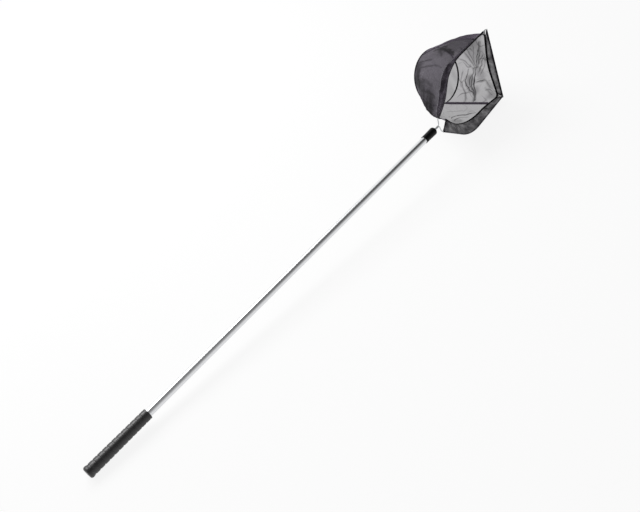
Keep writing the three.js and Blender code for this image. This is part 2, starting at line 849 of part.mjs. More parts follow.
const hoop = new THREE.Group();
hoop.position.x = handleLength + shankOut;
hoop.rotation.z = crank;
hoop.add(
  piece("frame_wire", frameWire(), finish("#b4b7ba", 0.3, 1)),
  piece("front_hem", hem(frontHemPaths()), finish("#454348", 0.9)),
  piece("upper_hem", hem(sideHemPaths(up)), finish("#454348", 0.9)),
  piece("lower_hem", hem(sideHemPaths(down)), finish("#454348", 0.9)),
  piece("upper_gusset", gusset(up), finish("#454348", 0.9)),
  piece("lower_gusset", gusset(down), finish("#454348", 0.9)),
  piece("front_hem_seam", frontBead(), finish("#0f0c12", 0.85)),
  piece("upper_hem_seam", sideBead(up), finish("#0f0c12", 0.85)),
  piece("lower_hem_seam", sideBead(down), finish("#0f0c12", 0.85)),
  piece("upper_wall", sideWall(up), finish("#39363b", 0.95)),
  piece("lower_wall", sideWall(down), finish("#39363b", 0.95)),
  piece("front_wall", frontWall(), finish("#39363b", 0.95)),
  piece("bag_bottom", bagBottom(), finish("#39363b", 0.95)),
  piece("bottom_binding", bottomBinding(), finish("#121013", 0.85)),
  piece("upper_side_seam", sideJoin(up), finish("#232125", 0.9)),
  piece("lower_side_seam", sideJoin(down), finish("#232125", 0.9)),
  piece("back_seam", backSeam(), finish("#232125", 0.9)),
);

// The ground touches the grip's butt, the lower arm and the bag's binding, each as a ball of its
// own radius. The plane through them turns towards level until all three rest on it.
function layDown(net) {
  net.updateMatrixWorld(true);
  const fromHoop = (point) => point.applyMatrix4(hoop.matrixWorld);
  const supports = [
    { centre: new THREE.Vector3(gripButtBead, 0, 0), radius: gripButtDiameter / 2 },
    { centre: fromHoop(inPlane(armRestForward, -hoopHalfWidth)), radius: hemOuter },
    { centre: fromHoop(onBottom(-Math.PI / 2, bottomRadius)), radius: bindingRadius },
  ];
  const normal = new THREE.Vector3(0, 0, 1);
  for (let pass = 0; pass < 5; pass++) {
    const [a, b, c] = supports.map(({ centre, radius }) =>
      centre.clone().addScaledVector(normal, -radius),
    );
    normal.crossVectors(b.sub(a), c.sub(a)).normalize();
    if (normal.z < 0) normal.negate();
  }
  const forward = new THREE.Vector3(1, 0, 0).projectOnPlane(normal).normalize();
  const sideways = new THREE.Vector3().crossVectors(normal, forward);
  const turn = new THREE.Matrix4().makeBasis(forward, sideways, normal);
  net.quaternion.setFromRotationMatrix(turn).invert();
}

const net = new THREE.Group();
net.add(handle, hoop);
layDown(net);

export default net;
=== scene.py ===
"""Pond algae net: fine shapes, finishes and a studio stage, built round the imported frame."""

import math

import bpy
from mathutils import Matrix, Vector, noise


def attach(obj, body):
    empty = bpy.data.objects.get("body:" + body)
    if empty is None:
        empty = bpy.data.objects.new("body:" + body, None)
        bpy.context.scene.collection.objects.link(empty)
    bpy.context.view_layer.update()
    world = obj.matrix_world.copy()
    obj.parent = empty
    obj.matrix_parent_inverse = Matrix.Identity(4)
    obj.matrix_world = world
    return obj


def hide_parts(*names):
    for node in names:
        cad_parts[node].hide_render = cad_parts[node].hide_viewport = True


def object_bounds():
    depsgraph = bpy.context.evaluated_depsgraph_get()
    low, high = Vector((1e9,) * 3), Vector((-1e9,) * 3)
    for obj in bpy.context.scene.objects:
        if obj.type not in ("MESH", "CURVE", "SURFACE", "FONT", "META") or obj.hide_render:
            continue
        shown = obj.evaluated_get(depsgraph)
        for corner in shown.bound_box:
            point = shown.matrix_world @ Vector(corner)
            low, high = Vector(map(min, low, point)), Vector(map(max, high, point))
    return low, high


bl_info = {
    "name": "Pond Algae Net",
    "version": (1, 0, 0),
    "blender": (4, 5, 0),
    "location": "View3D > Sidebar > Pond Net",
    "description": "Builds a long-handled pond net with a wire hoop and a sewn mesh bag",
    "category": "Add Mesh",
}

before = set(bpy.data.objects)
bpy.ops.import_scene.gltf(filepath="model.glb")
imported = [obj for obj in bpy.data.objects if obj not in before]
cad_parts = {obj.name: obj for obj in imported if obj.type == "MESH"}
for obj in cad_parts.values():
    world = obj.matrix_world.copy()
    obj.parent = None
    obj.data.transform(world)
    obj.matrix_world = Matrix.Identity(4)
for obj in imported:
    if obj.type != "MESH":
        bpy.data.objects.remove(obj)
cad_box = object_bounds()

MM = 0.001
UP = 1
DOWN = -1
BAR = 0
BODY = "root"
WHITE = (1.0, 1.0, 1.0, 1.0)


def to_linear(text):
    """An sRGB hex colour as linear red, green and blue."""
    values = [int(text[i : i + 2], 16) / 255 for i in (1, 3, 5)]
    return [v / 12.92 if v <= 0.04045 else ((v + 0.055) / 1.055) ** 2.4 for v in values]


# Properties: what a user would change


def length(name, description, millimetres):
    return bpy.props.FloatProperty(
        name=name, description=description, default=millimetres * MM, min=0,
        subtype="DISTANCE", unit="LENGTH", precision=4,
    )


def angle(name, description, degrees):
    return bpy.props.FloatProperty(
        name=name, description=description, default=math.radians(degrees),
        subtype="ANGLE", unit="ROTATION",
    )


def share(name, description, default):
    return bpy.props.FloatProperty(
        name=name, description=description, default=default, min=0, max=1, subtype="FACTOR"
    )


def number(name, description, default):
    return bpy.props.IntProperty(name=name, description=description, default=default, min=1)


def colour(name, description, text):
    return bpy.props.FloatVectorProperty(
        name=name, description=description, default=to_linear(text),
        size=3, min=0, max=1, subtype="COLOR",
    )


class NetHandleSizes(bpy.types.PropertyGroup):
    length: length("Length", "From the butt's end face to the collar's nose", 1177)
    pole_diameter: length("Pole diameter", "Outside of the aluminium tube", 18)
    pole_wall: length("Pole wall", "Thickness of the tube's wall", 1.2)
    grip_length: length("Grip length", "From the butt to the grip's front end", 163.5)
    grip_butt: length("Butt diameter", "Outside of the grip at its rounded butt", 27.8)
    grip_body: length("Grip diameter, rear", "Outside of the ringed part behind", 26.4)
    grip_front: length("Grip diameter, front", "Outside of the ringed part in front", 24.7)
    ring_count: number("Rings", "Raised rings along the grip", 12)
    ring_groove: length("Ring groove", "Width of the groove between two rings", 2.6)
    ring_depth: length("Ring depth", "Depth of the groove between two rings", 0.8)
    collar_length: length("Collar length", "Cap on the pole's end", 45.5)
    collar_wall: length("Collar wall", "Thickness of the cap's skirt", 0.9)


class NetHoopSizes(bpy.types.PropertyGroup):
    wire_diameter: length("Wire diameter", "Round wire of the hoop", 2.8)
    length: length("Hoop length", "From the junction to the front bar", 300)
    half_width: length("Half width", "From the middle to a shoulder", 112)
    bar_half_width: length("Bar half width", "Half of the straight front bar", 107)
    shank_spacing: length("Shank spacing", "Between the two shanks", 3.5)
    crank: angle("Crank", "Turn of the hoop out of the pole's line", 4.2)
    hem_cloth: length("Hem cloth", "Thickness of one layer of the hem", 0.45)


class NetBagSizes(bpy.types.PropertyGroup):
    bottom_radius: length("Bottom radius", "Round bottom panel", 81)
    bottom_forward: length("Bottom forward", "Its centre's distance from the junction", 223)
    bottom_depth: length("Depth", "From the hoop's plane to the bottom's centre", 145)
    bottom_dome: length("Dome", "How far the bottom bulges", 7)
    tilt_front: angle("Front tilt", "Turn of the bottom about the bar's direction", -10)
    tilt_side: angle("Side tilt", "Turn of the bottom about the pole's direction", 12)
    hem_seam_width: length("Hem seam width", "Row of stitches on the hems' edges", 6.4)
    binding_width: length("Binding width", "Tape round the bottom's edge", 6.0)
    join_width: length("Join width", "Felled joins between the walls", 8.0)
    seam_thick: length("Seam thickness", "Thickness of the felled and bound seams", 1.7)
    stitch_pitch: length("Stitch pitch", "Between two stitches", 3.2)
    stitch_length: length("Stitch length", "One stitch, as seen", 4.2)
    crumple: length("Crumple", "Height of the cloth's small creases", 1.5)


class NetFinishes(bpy.types.PropertyGroup):
    aluminium: colour("Aluminium", "Bare tube", "#e3e4e6")
    wire: colour("Wire", "Bright steel wire", "#c9cbcd")
    rubber: colour("Rubber", "Grip", "#121112")
    plastic: colour("Plastic", "Collar", "#0c0c0d")
    mesh: colour("Mesh", "Thread of the bag's mesh", "#503c5b")
    mesh_cover: share("Mesh cover", "How much of the light one layer of mesh stops", 0.57)
    slack: colour("Slack mesh", "Thread of the mesh where it hangs slack", "#453f4a")
    slack_cover: share("Slack cover", "How much of the light the slack mesh stops", 0.84)
    hem: colour("Hem", "Thread of the hem's mesh", "#443b4a")
    seam: colour("Seam", "Bound edges and seams", "#0b090d")
    # The felled joins are paler than the mesh they are folded from: painted light that makes up for the
    # shade they stand in
    join: colour("Felled join", "Folded mesh of the felled joins", "#8b8491")
    # The ridge is paler than the hem's cloth: a painted highlight along its raised edge
    ridge: colour("Ridge", "Raised edge of the upper hem", "#6a676d")
    thread: colour("Thread", "Stitches", "#1d1a20")


class NetStageSettings(bpy.types.PropertyGroup):
    floor_size: length("Floor size", "Side of the square floor", 80000)
    floor: colour("Floor", "Plain pale floor", "#f4f4f4")
    shade_kept: share("Shade kept", "How much of the floor's shading the camera sees", 0.12)
    fill: bpy.props.FloatProperty(
        name="Fill", description="Strength of the white surroundings", default=0.8, min=0
    )
    key: bpy.props.FloatProperty(
        name="Key light", description="Power of the far soft light", default=42, unit="POWER"
    )


class NetSettings(bpy.types.PropertyGroup):
    handle: bpy.props.PointerProperty(type=NetHandleSizes)
    hoop: bpy.props.PointerProperty(type=NetHoopSizes)
    bag: bpy.props.PointerProperty(type=NetBagSizes)
    finish: bpy.props.PointerProperty(type=NetFinishes)
    stage: bpy.props.PointerProperty(type=NetStageSettings)


def settings():
    return bpy.context.scene.pond_net


# Sizes that follow the frame: the same named values as the frame's, in metres

SEAT_GAP = 0.3 * MM
GRIP_BUTT_ROUND = 4.5 * MM
GRIP_BUTT_BEAD = 7 * MM
GRIP_END_WALL = 4 * MM
COLLAR_NOSE_WALL = 5 * MM
COLLAR_NOSE_ROUND = 6 * MM
COLLAR_NOSE_FLAT = 3 * MM
COLLAR_SWELL = 0.6 * MM
POLE_TO_NOSE_WALL = 1 * MM
SHANK_IN_PLUG = 24 * MM
SHANK_OUT = 20.8 * MM
SHANK_ELBOW = 5 * MM
YOKE_LEAN = 3 * MM
YOKE_HALF = 20 * MM
YOKE_ELBOW = 12 * MM
SHOULDER_FORWARD = 117 * MM
SHOULDER_RADIUS = 120 * MM
CORNER_RADIUS = 7 * MM
HEM_START = {UP: 1 * MM, DOWN: 8 * MM}
HEM_BARE = {UP: 18 * MM, DOWN: 2.5 * MM}
BAR_HEM_BARE = {UP: 2 * MM, DOWN: -3 * MM}
ARM_REST_FORWARD = 180 * MM
HEM_OUTER = 2.4 * MM
BINDING_RADIUS = 1.5 * MM
JOIN_FROM_CORNER = 36 * MM
JOIN_FOOT = math.radians(100)
PEAK_SHARE = 0.4

# Mouth's edge, as distances from the hoop's corners in millimetres: forward, inward and depth
EDGE_OFFS = {
    UP: [(19, 11, 19), (-25, 5, 15), (-78, 1, 12), (0, 12, 8)],
    DOWN: [(43, 8, 12), (-2, 15, 24), (-75, 8, 20), (-3, 2, 13)],
}
EDGE_CORNER = [1, 2, 3, 3]
# Its middle at the bar, as a distance behind it and a depth, and its corners' radii in millimetres
BAR_EDGE_BACK = 8.5 * MM
BAR_EDGE_DEPTH = 17.5 * MM
EDGE_RADII = [10, 60, 100, 14, 300, 8, 100, 190, 10]
EDGE_LINE_STEPS = [6, 12, 10, 10, 12, 12, 10, 10, 12, 6]
EDGE_ARC_STEPS = 14
WIRE_LINE_STEPS = [4, 2, 6, 10, 20, 10, 6, 2, 4]
WIRE_ARC_STEPS = 14

# How the cloth swells: forward, outward, distance in millimetres
UPPER_SWELL = (-0.5, 1, 12)
LOWER_SWELL = (-0.5, -1, 2)
FRONT_SWELL = (1, 0, 5)
UPPER_JOIN_SWELL = (0.4, 1, 13)
BACK_JOIN_SWELL = (-1, -0.5, 14)
# The back join is puckered: how high, how many puckers, how they crowd towards the mouth, and how
# far they reach into a wall, as a share of its width
PUCKER_HEIGHT = 3.5 * MM
PUCKERS = 7
PUCKER_CROWDING = 1.3
PUCKER_REACH = 0.25


# Paths


def in_plane(forward, sideways, depth=0.0):
    """A point of the hoop's own frame: its plane is X and Z, and the bag's depth is Y."""
    return Vector((forward, depth, sideways))


def filleted(corners, radii, line_steps, arc_steps):
    """Straight runs joined by arcs, with a set number of steps in each."""
    path = []
    start = corners[0]
    for k in range(1, len(corners) - 1):
        before = (corners[k] - corners[k - 1]).normalized()
        after = (corners[k + 1] - corners[k]).normalized()
        turn = before.angle(after)
        reach = radii[k - 1] * math.tan(turn / 2)
        arc_start = corners[k] - before * reach
        inward = (after - before * before.dot(after)).normalized()
        centre = arc_start + inward * radii[k - 1]
        path += [start.lerp(arc_start, i / line_steps[k - 1]) for i in range(line_steps[k - 1])]
        for i in range(arc_steps):
            at = turn * i / arc_steps
            path.append(centre + (before * math.sin(at) - inward * math.cos(at)) * radii[k - 1])
        start = corners[k] + after * reach
    steps = line_steps[len(corners) - 2]
    return path + [start.lerp(corners[-1], i / steps) for i in range(steps + 1)]


def lengths_along(path):
    along = [0.0]
    for a, b in zip(path, path[1:]):
        along.append(along[-1] + (b - a).length)
    return along


def subdivided(path, finer):
    """The same polyline with each of its steps split into equal finer ones."""
    return [a.lerp(b, k / finer) for a, b in zip(path, path[1:]) for k in range(finer)] + [path[-1]]


def tangents(path, closed=False):
    n = len(path)
    out = []
    for i in range(n):
        before = path[i - 1] if closed or i else path[0]
        after = path[(i + 1) % n] if closed else path[min(i + 1, n - 1)]
        out.append((after - before).normalized())
    return out


def edge_point(path, along, want):
    """The point at a length along a path."""
    low, high = 0, len(path) - 2
    while low < high:
        middle = (low + high + 1) // 2
        if along[middle] <= want:
            low = middle
        else:
            high = middle - 1
    reach = (want - along[low]) / (along[low + 1] - along[low])
    return path[low].lerp(path[low + 1], clamped(reach))


def clamped(value, low=0.0, high=1.0):
    return min(max(value, low), high)


def smooth_step(value):
    value = clamped(value)
    return value * value * (3 - 2 * value)


# Mesh code


def new_object(name, points, faces, smooth=True):
    mesh = bpy.data.meshes.new(name)
    mesh.from_pydata([tuple(p) for p in points], [], faces)
    mesh.polygons.foreach_set("use_smooth", [smooth] * len(mesh.polygons))
    mesh.update()
    obj = bpy.data.objects.new(name, mesh)
    bpy.context.scene.collection.objects.link(obj)
    return obj


def facing_out(points, faces):
    """The faces, all turned round if the shape they close has a negative volume."""
    volume = 0.0
    for face in faces:
        a = points[face[0]]
        for j in range(1, len(face) - 1):
            volume += a.dot(points[face[j]].cross(points[face[j + 1]]))
    return faces if volume >= 0 else [tuple(reversed(face)) for face in faces]


def lofted(rings, closed_path=False):
    """Points and outward faces of a skin over closed rings with as many points each."""
    sides = len(rings[0])
    points = [p for ring in rings for p in ring]
    faces = []
    for i in range(len(rings) if closed_path else len(rings) - 1):
        a, b = i * sides, ((i + 1) % len(rings)) * sides
        faces += [(a + j, a + (j + 1) % sides, b + (j + 1) % sides, b + j) for j in range(sides)]
    if not closed_path:
        faces.append(tuple(reversed(range(sides))))
        faces.append(tuple(range((len(rings) - 1) * sides, len(rings) * sides)))
    return points, facing_out(points, faces)


ROUND_SIDES = 96


def turned(name, profile, place):
    """A turned piece along X, from (along, radius) points, closed on the axis or on itself."""
    points, rings = [], []
    for along, radius in profile:
        if radius < 1e-9:
            points.append(Vector((along, 0, 0)))
            rings.append([len(points) - 1] * ROUND_SIDES)
            continue
        rings.append(list(range(len(points), len(points) + ROUND_SIDES)))
        for i in range(ROUND_SIDES):
            at = 2 * math.pi * i / ROUND_SIDES
            points.append(Vector((along, radius * math.cos(at), radius * math.sin(at))))
    faces = []
    for near, far in zip(rings, rings[1:]):
        for i in range(ROUND_SIDES):
            j = (i + 1) % ROUND_SIDES
            corners = list(dict.fromkeys((near[i], near[j], far[j], far[i])))
            if len(corners) > 2:
                faces.append(tuple(corners))
    return new_object(name, [place @ p for p in points], facing_out(points, faces))


def rounded(centre_along, centre_radius, radius, start, end, steps):
    """An arc of a profile between two angles in degrees."""
    out = []
    for i in range(steps + 1):
        at = math.radians(start + (end - start) * i / steps)
        out.append((centre_along + radius * math.cos(at), centre_radius + radius * math.sin(at)))
    return out


def sharp_ends(obj, degrees=40):
    """Shades smooth but keeps an edge crisp where two faces meet at a steep angle."""
    limit = math.radians(degrees)
    mesh = obj.data
    normals = {}
    for polygon in mesh.polygons:
        for key in polygon.edge_keys:
            normals.setdefault(key, []).append(polygon.normal.copy())
    sharp = [False] * len(mesh.edges)
    for edge in mesh.edges:
        found = normals.get(edge.key, [])
        sharp[edge.index] = len(found) != 2 or found[0].angle(found[1], 0) > limit
    mesh.attributes.new("sharp_edge", "BOOLEAN", "EDGE").data.foreach_set("value", sharp)


def mark_folds_and_shade(obj, folds_and_shade):
    obj.data.attributes.new("folds_and_shade", "FLOAT", "POINT").data.foreach_set("value", folds_and_shade)


def cloth_object(name, grid, folds_and_shade, place):
    """One layer of cloth from a grid of points and how folded it is at each, which also sets its painted
    shade.
    """
    rows, columns = len(grid), len(grid[0])
    points = [place @ p for row in grid for p in row]
    faces = [
        (i * columns + j, i * columns + j + 1, (i + 1) * columns + j + 1, (i + 1) * columns + j)
        for i in range(rows - 1)
        for j in range(columns - 1)
    ]
    obj = new_object(name, points, faces)
    mark_folds_and_shade(obj, folds_and_shade)
    return obj


def sheet_size(obj):
    """The sides of the square of cloth that a gathered piece is cut from, a quarter larger."""
    side = math.sqrt(1.25 * sum(polygon.area for polygon in obj.data.polygons))
    return side, side


# Where things are


class Layout:
    """The net's lines and surfaces. Its turn and place put the pole and the hoop where they lie."""

    def __init__(self):
        s = settings()
        self.handle, self.hoop, self.bag = s.handle, s.hoop, s.bag
        junction = Matrix.Translation((self.handle.length + SHANK_OUT, 0, 0))
        self.hoop_frame = junction @ Matrix.Rotation(self.hoop.crank, 4, "Z")
        front, side = self.bag.tilt_front, self.bag.tilt_side
        self.bottom_centre = in_plane(self.bag.bottom_forward, 0, self.bag.bottom_depth)
        self.bottom_front = Vector((math.cos(front), math.sin(front), 0))
        flat = Vector((-math.sin(front), math.cos(front), 0))
        self.bottom_up = Vector((0, 0, math.cos(side))) + flat * math.sin(side)
        self.bottom_out = self.bottom_up.cross(self.bottom_front)
        self.turn = self.lying_turn()
        self.place = self.turn @ self.hoop_frame
        self.mouth = self.mouth_edge()
        self.mouth_lengths = lengths_along(self.mouth)

    def lying_turn(self):
        """The turn that sets the butt, the lower arm and the bag's bottom on the ground."""
        supports = [
            (Vector((GRIP_BUTT_BEAD, 0, 0)), self.handle.grip_butt / 2),
            (self.hoop_frame @ in_plane(ARM_REST_FORWARD, -self.hoop.half_width), HEM_OUTER),
            (self.hoop_frame @ self.on_bottom(-math.pi / 2, 1), BINDING_RADIUS),
        ]
        normal = Vector((0, 0, 1))
        for _ in range(5):
            a, b, c = [centre - normal * radius for centre, radius in supports]
            normal = (b - a).cross(c - a).normalized()
            if normal.z < 0:
                normal.negate()
        forward = (Vector((1, 0, 0)) - normal * normal.x).normalized()
        return Matrix((forward, normal.cross(forward), normal)).to_4x4()

    def on_bottom(self, at, radius_share, lift=0.0):
        """A point of the round bottom, from its angle, its share of the radius and its lift."""
        radius = self.bag.bottom_radius * radius_share
        point = self.bottom_centre + self.bottom_front * (radius * math.cos(at))
        return point + self.bottom_up * (radius * math.sin(at)) + self.bottom_out * lift

    def corners(self, side):
        return [
            in_plane(0, side * self.hoop.shank_spacing / 2),
            in_plane(YOKE_LEAN, side * YOKE_HALF),
            in_plane(SHOULDER_FORWARD, side * self.hoop.half_width),
            in_plane(self.hoop.length, side * self.hoop.bar_half_width),
        ]

    def edge_corners(self, side):
        corners = self.corners(side)
        return [
            corners[k] + in_plane(forward * MM, -side * inward * MM, depth * MM)
            for k, (forward, inward, depth) in zip(EDGE_CORNER, EDGE_OFFS[side])
        ]

    def mouth_edge(self):
        upper, lower = self.edge_corners(UP), self.edge_corners(DOWN)
        back_middle = upper[0].lerp(lower[0], 0.5)
        bar = in_plane(self.hoop.length - BAR_EDGE_BACK, 0, BAR_EDGE_DEPTH)
        corners = [back_middle, *upper, bar, *reversed(lower), back_middle]
        return filleted(corners, [r * MM for r in EDGE_RADII], EDGE_LINE_STEPS, EDGE_ARC_STEPS)

    def arc(self, number):
        """Where an arc of the mouth's edge starts and ends, as places in mouth."""
        start = sum(EDGE_LINE_STEPS[:number]) + (number - 1) * EDGE_ARC_STEPS
        return start, start + EDGE_ARC_STEPS

    def join_along(self, side):
        """How far a side's join is from the back middle, along the mouth's edge."""
        if side == UP:
            return self.mouth_lengths[self.arc(4)[0]] - JOIN_FROM_CORNER
        return self.mouth_lengths[-1] - self.mouth_lengths[self.arc(6)[1]] - JOIN_FROM_CORNER

    def wire_path(self):
        back = -(SHANK_OUT + COLLAR_NOSE_WALL + POLE_TO_NOSE_WALL + SHANK_IN_PLUG)
        forward, depth = back * math.cos(self.hoop.crank), -back * math.sin(self.hoop.crank)
        half = self.hoop.shank_spacing / 2
        ends = [in_plane(forward, side * half, depth) for side in (UP, DOWN)]
        corners = [ends[0], *self.corners(UP), *reversed(self.corners(DOWN)), ends[1]]
        radii = [SHANK_ELBOW, YOKE_ELBOW, SHOULDER_RADIUS, CORNER_RADIUS]
        return filleted(corners, radii + radii[::-1], WIRE_LINE_STEPS, WIRE_ARC_STEPS)

    def hem_paths(self, side):
        """The wire under a hem and the hem's edge, point by point, for UP, DOWN or BAR."""
        if side == BAR:
            top, bottom = self.corners(UP)[3], self.corners(DOWN)[3]
            span = (top - bottom).length
            first, last = BAR_HEM_BARE[UP] / span, BAR_HEM_BARE[DOWN] / span
            edge = self.mouth[self.arc(4)[1] : self.arc(6)[0] + 1]
            n = len(edge) - 1
            wire = [top.lerp(bottom, first + (1 - first - last) * i / n) for i in range(n + 1)]
            return wire, edge
        _, yoke, shoulder, corner = self.corners(side)
        start = yoke.lerp(shoulder, HEM_START[side] / (yoke - shoulder).length)
        end = corner.lerp(shoulder, HEM_BARE[side] / (corner - shoulder).length)
        lines = [EDGE_LINE_STEPS[1], EDGE_LINE_STEPS[2] + EDGE_ARC_STEPS + EDGE_LINE_STEPS[3]]
        wire = filleted([start, shoulder, end], [SHOULDER_RADIUS], lines, EDGE_ARC_STEPS)
        if side == UP:
            return wire, self.mouth[self.arc(1)[1] : self.arc(4)[0] + 1]
        return wire, self.mouth[self.arc(6)[1] : self.arc(9)[0] + 1][::-1]

    def wall(self, name):
        """A wall's point from its shares along the mouth's edge and down to the binding."""
        whole = self.mouth_lengths[-1]
        upper, lower = self.join_along(UP), self.join_along(DOWN)
        upper_join, back_join = swelling(UPPER_JOIN_SWELL), swelling(BACK_JOIN_SWELL)
        none = in_plane(0, 0)
        edge = self.mouth[::-1] if name == "lower" else self.mouth
        trims, feet, swell, joins, puckered = {
            "front": ((upper, lower), (JOIN_FOOT, -JOIN_FOOT), FRONT_SWELL, (upper_join, none), 0),
            "upper": ((0, whole - upper), (math.pi, JOIN_FOOT), UPPER_SWELL, (back_join, upper_join), 1),
            "lower": ((0, whole - lower), (-math.pi, -JOIN_FOOT), LOWER_SWELL, (back_join, none), 1),
        }[name]
        middle = swelling(swell)
        along = lengths_along(edge)

        def at(u, v):
            top = edge_point(edge, along, trims[0] + (whole - trims[0] - trims[1]) * u)
            foot = self.on_bottom(feet[0] + (feet[1] - feet[0]) * u, 1)
            full = swell_at(v)
            wave = math.sin(2 * math.pi * PUCKERS * v**PUCKER_CROWDING)
            pucker = PUCKER_HEIGHT * wave * full * puckered
            top = top + in_plane(-1, 0) * (pucker * max(0.0, 1 - u / PUCKER_REACH))
            point = top.lerp(foot, v) + middle * (full * math.sin(math.pi * u))
            return point + joins[0] * (full * (1 - u) ** 2) + joins[1] * (full * u**2)

        return at


def swelling(values):
    forward, outward, distance = values
    return in_plane(forward, outward).normalized() * (distance * MM)


def swell_at(v):
    """How much of its swell a wall has on its way down: all of it at PEAK_SHARE."""
    return math.sin(math.pi * v ** (math.log(0.5) / math.log(PEAK_SHARE))) if 0 < v < 1 else 0.0


# Nodes


def add_node(tree, kind, links=None, **values):
    """A node with its settings and its inputs: a value, a socket, or a node for its first output."""
    node = tree.nodes.new(kind)
    for key, value in values.items():
        setattr(node, key, value)
    for key, value in (links or {}).items():
        if isinstance(value, bpy.types.Node):
            value = next(socket for socket in value.outputs if socket.enabled)
        if isinstance(value, bpy.types.NodeSocket):
            tree.links.new(value, node.inputs[key])
        else:
            node.inputs[key].default_value = value
    return node


# Geometry Nodes trees


def new_tree(name, inputs):
    """A tree with a geometry input and output, the named inputs and a finish."""
    tree = bpy.data.node_groups.new(name, "GeometryNodeTree")
    for label, kind in (("Geometry", "Geometry"), *inputs.items(), ("Finish", "Material")):
        tree.interface.new_socket(label, in_out="INPUT", socket_type=f"NodeSocket{kind}")
    tree.interface.new_socket("Geometry", in_out="OUTPUT", socket_type="NodeSocketGeometry")
    return tree, add_node(tree, "NodeGroupInput").outputs


def put_out(tree, shape, given):
    """Ends a tree: its shape made real, smooth and finished."""
    real = add_node(tree, "GeometryNodeRealizeInstances", {"Geometry": shape})
    smooth = add_node(tree, "GeometryNodeSetShadeSmooth", {"Geometry": real})
    links = {"Geometry": smooth, "Material": given["Finish"]}
    add_node(tree, "NodeGroupOutput", {0: add_node(tree, "GeometryNodeSetMaterial", links)})
    return tree


def tube_tree(name):
    """A round tube along a path of edges, with closed ends."""
    tree, given = new_tree(name, {"Radius": "Float", "Sides": "Int"})
    curve = add_node(tree, "GeometryNodeMeshToCurve", {"Mesh": given["Geometry"]})
    size = {"Resolution": given["Sides"], "Radius": given["Radius"]}
    circle = add_node(tree, "GeometryNodeCurvePrimitiveCircle", size)
    links = {"Curve": curve, "Profile Curve": circle, "Fill Caps": True}
    return put_out(tree, add_node(tree, "GeometryNodeCurveToMesh", links), given)


# How far a stitch leans out of its row at random, in radians
STITCH_LEAN = 0.12


def stitch_tree(name):
    """Slanted stitches across a seam: one small bead of thread at each step of a path."""
    floats = dict.fromkeys(("Pitch", "Stitch Length", "Thread", "Slant"), "Float")
    tree, given = new_tree(name, {**floats, "Seed": "Int"})
    curve = add_node(tree, "GeometryNodeMeshToCurve", {"Mesh": given["Geometry"]})
    links = {"Curve": curve, "Length": given["Pitch"]}
    spaced = add_node(tree, "GeometryNodeCurveToPoints", links, mode="LENGTH")
    across, facing = [
        add_node(tree, "GeometryNodeInputNamedAttribute", {"Name": label}, data_type="FLOAT_VECTOR")
        for label in ("across", "facing")
    ]
    align = "FunctionNodeAlignRotationToVector"
    stood = add_node(tree, align, {"Vector": facing}, axis="Z")
    aimed = add_node(tree, align, {"Rotation": stood, "Vector": across}, axis="X", pivot_axis="Z")
    ends = {"Min": (0.0, 0.0, -STITCH_LEAN), "Max": (0.0, 0.0, STITCH_LEAN), "Seed": given["Seed"]}
    jitter = add_node(tree, "FunctionNodeRandomValue", ends, data_type="FLOAT_VECTOR")
    slant = add_node(tree, "ShaderNodeCombineXYZ", {"Z": given["Slant"]})
    lean = add_node(tree, "ShaderNodeVectorMath", {0: jitter, 1: slant}, operation="ADD")
    links = {"Rotation": aimed, "Rotate By": lean}
    leaning = add_node(tree, "FunctionNodeRotateRotation", links, rotation_space="LOCAL")
    bead = add_node(tree, "GeometryNodeMeshUVSphere", {"Segments": 6, "Rings": 5, "Radius": 0.5})
    thick = given["Thread"]
    size = add_node(tree, "ShaderNodeCombineXYZ", {"X": given["Stitch Length"], "Y": thick, "Z": thick})
    links = {"Points": spaced, "Instance": bead, "Rotation": leaning, "Scale": size}
    return put_out(tree, add_node(tree, "GeometryNodeInstanceOnPoints", links), given)


# Rounding of a ring's edges, as a share of its height
BAND_ROUNDING = 0.45


def ring_tree(name):
    """Raised rings on the grip: rounded bands, evenly spaced along the pole and tapering."""
    labels = ("Start", "Pitch", "Band Width", "Band Height", "First Radius", "Last Radius")
    tree, given = new_tree(name, {"Count": "Int", **dict.fromkeys(labels, "Float")})
    place = add_node(tree, "ShaderNodeCombineXYZ", {"X": given["Start"]})
    step = add_node(tree, "ShaderNodeCombineXYZ", {"X": given["Pitch"]})
    links = {"Count": given["Count"], "Start Location": place, "Offset": step}
    row = add_node(tree, "GeometryNodeMeshLine", links)
    links = {"Resolution": ROUND_SIDES, "Radius": given["First Radius"]}
    circle = add_node(tree, "GeometryNodeCurvePrimitiveCircle", links)
    links = {"Width": given["Band Height"], "Height": given["Band Width"]}
    band = add_node(tree, "GeometryNodeCurvePrimitiveQuadrilateral", links)
    links = {0: given["Band Height"], 1: BAND_ROUNDING}
    corner = add_node(tree, "ShaderNodeMath", links, operation="MULTIPLY")
    links = {"Curve": band, "Radius": corner, "Count": 4}
    eased = add_node(tree, "GeometryNodeFilletCurve", links, mode="POLY")
    ring = add_node(tree, "GeometryNodeCurveToMesh", {"Curve": circle, "Profile Curve": eased})
    upright = (0.0, math.pi / 2, 0.0)
    stood = add_node(tree, "GeometryNodeTransform", {"Geometry": ring, "Rotation": upright})
    last = add_node(tree, "ShaderNodeMath", {0: given["Count"], 1: 1.0}, operation="SUBTRACT")
    links = {0: add_node(tree, "GeometryNodeInputIndex"), 1: last}
    far = add_node(tree, "ShaderNodeMath", links, operation="DIVIDE")
    links = {0: given["Last Radius"], 1: given["First Radius"]}
    ratio = add_node(tree, "ShaderNodeMath", links, operation="DIVIDE")
    links = {"Value": far, "To Min": 1.0, "To Max": ratio}
    taper = add_node(tree, "ShaderNodeMapRange", links)
    size = add_node(tree, "ShaderNodeCombineXYZ", {"X": 1.0, "Y": taper, "Z": taper})
    links = {"Points": row, "Instance": stood, "Scale": size}
    return put_out(tree, add_node(tree, "GeometryNodeInstanceOnPoints", links), given)


TREES = {"net_tube": tube_tree, "net_stitches": stitch_tree, "net_grip_rings": ring_tree}


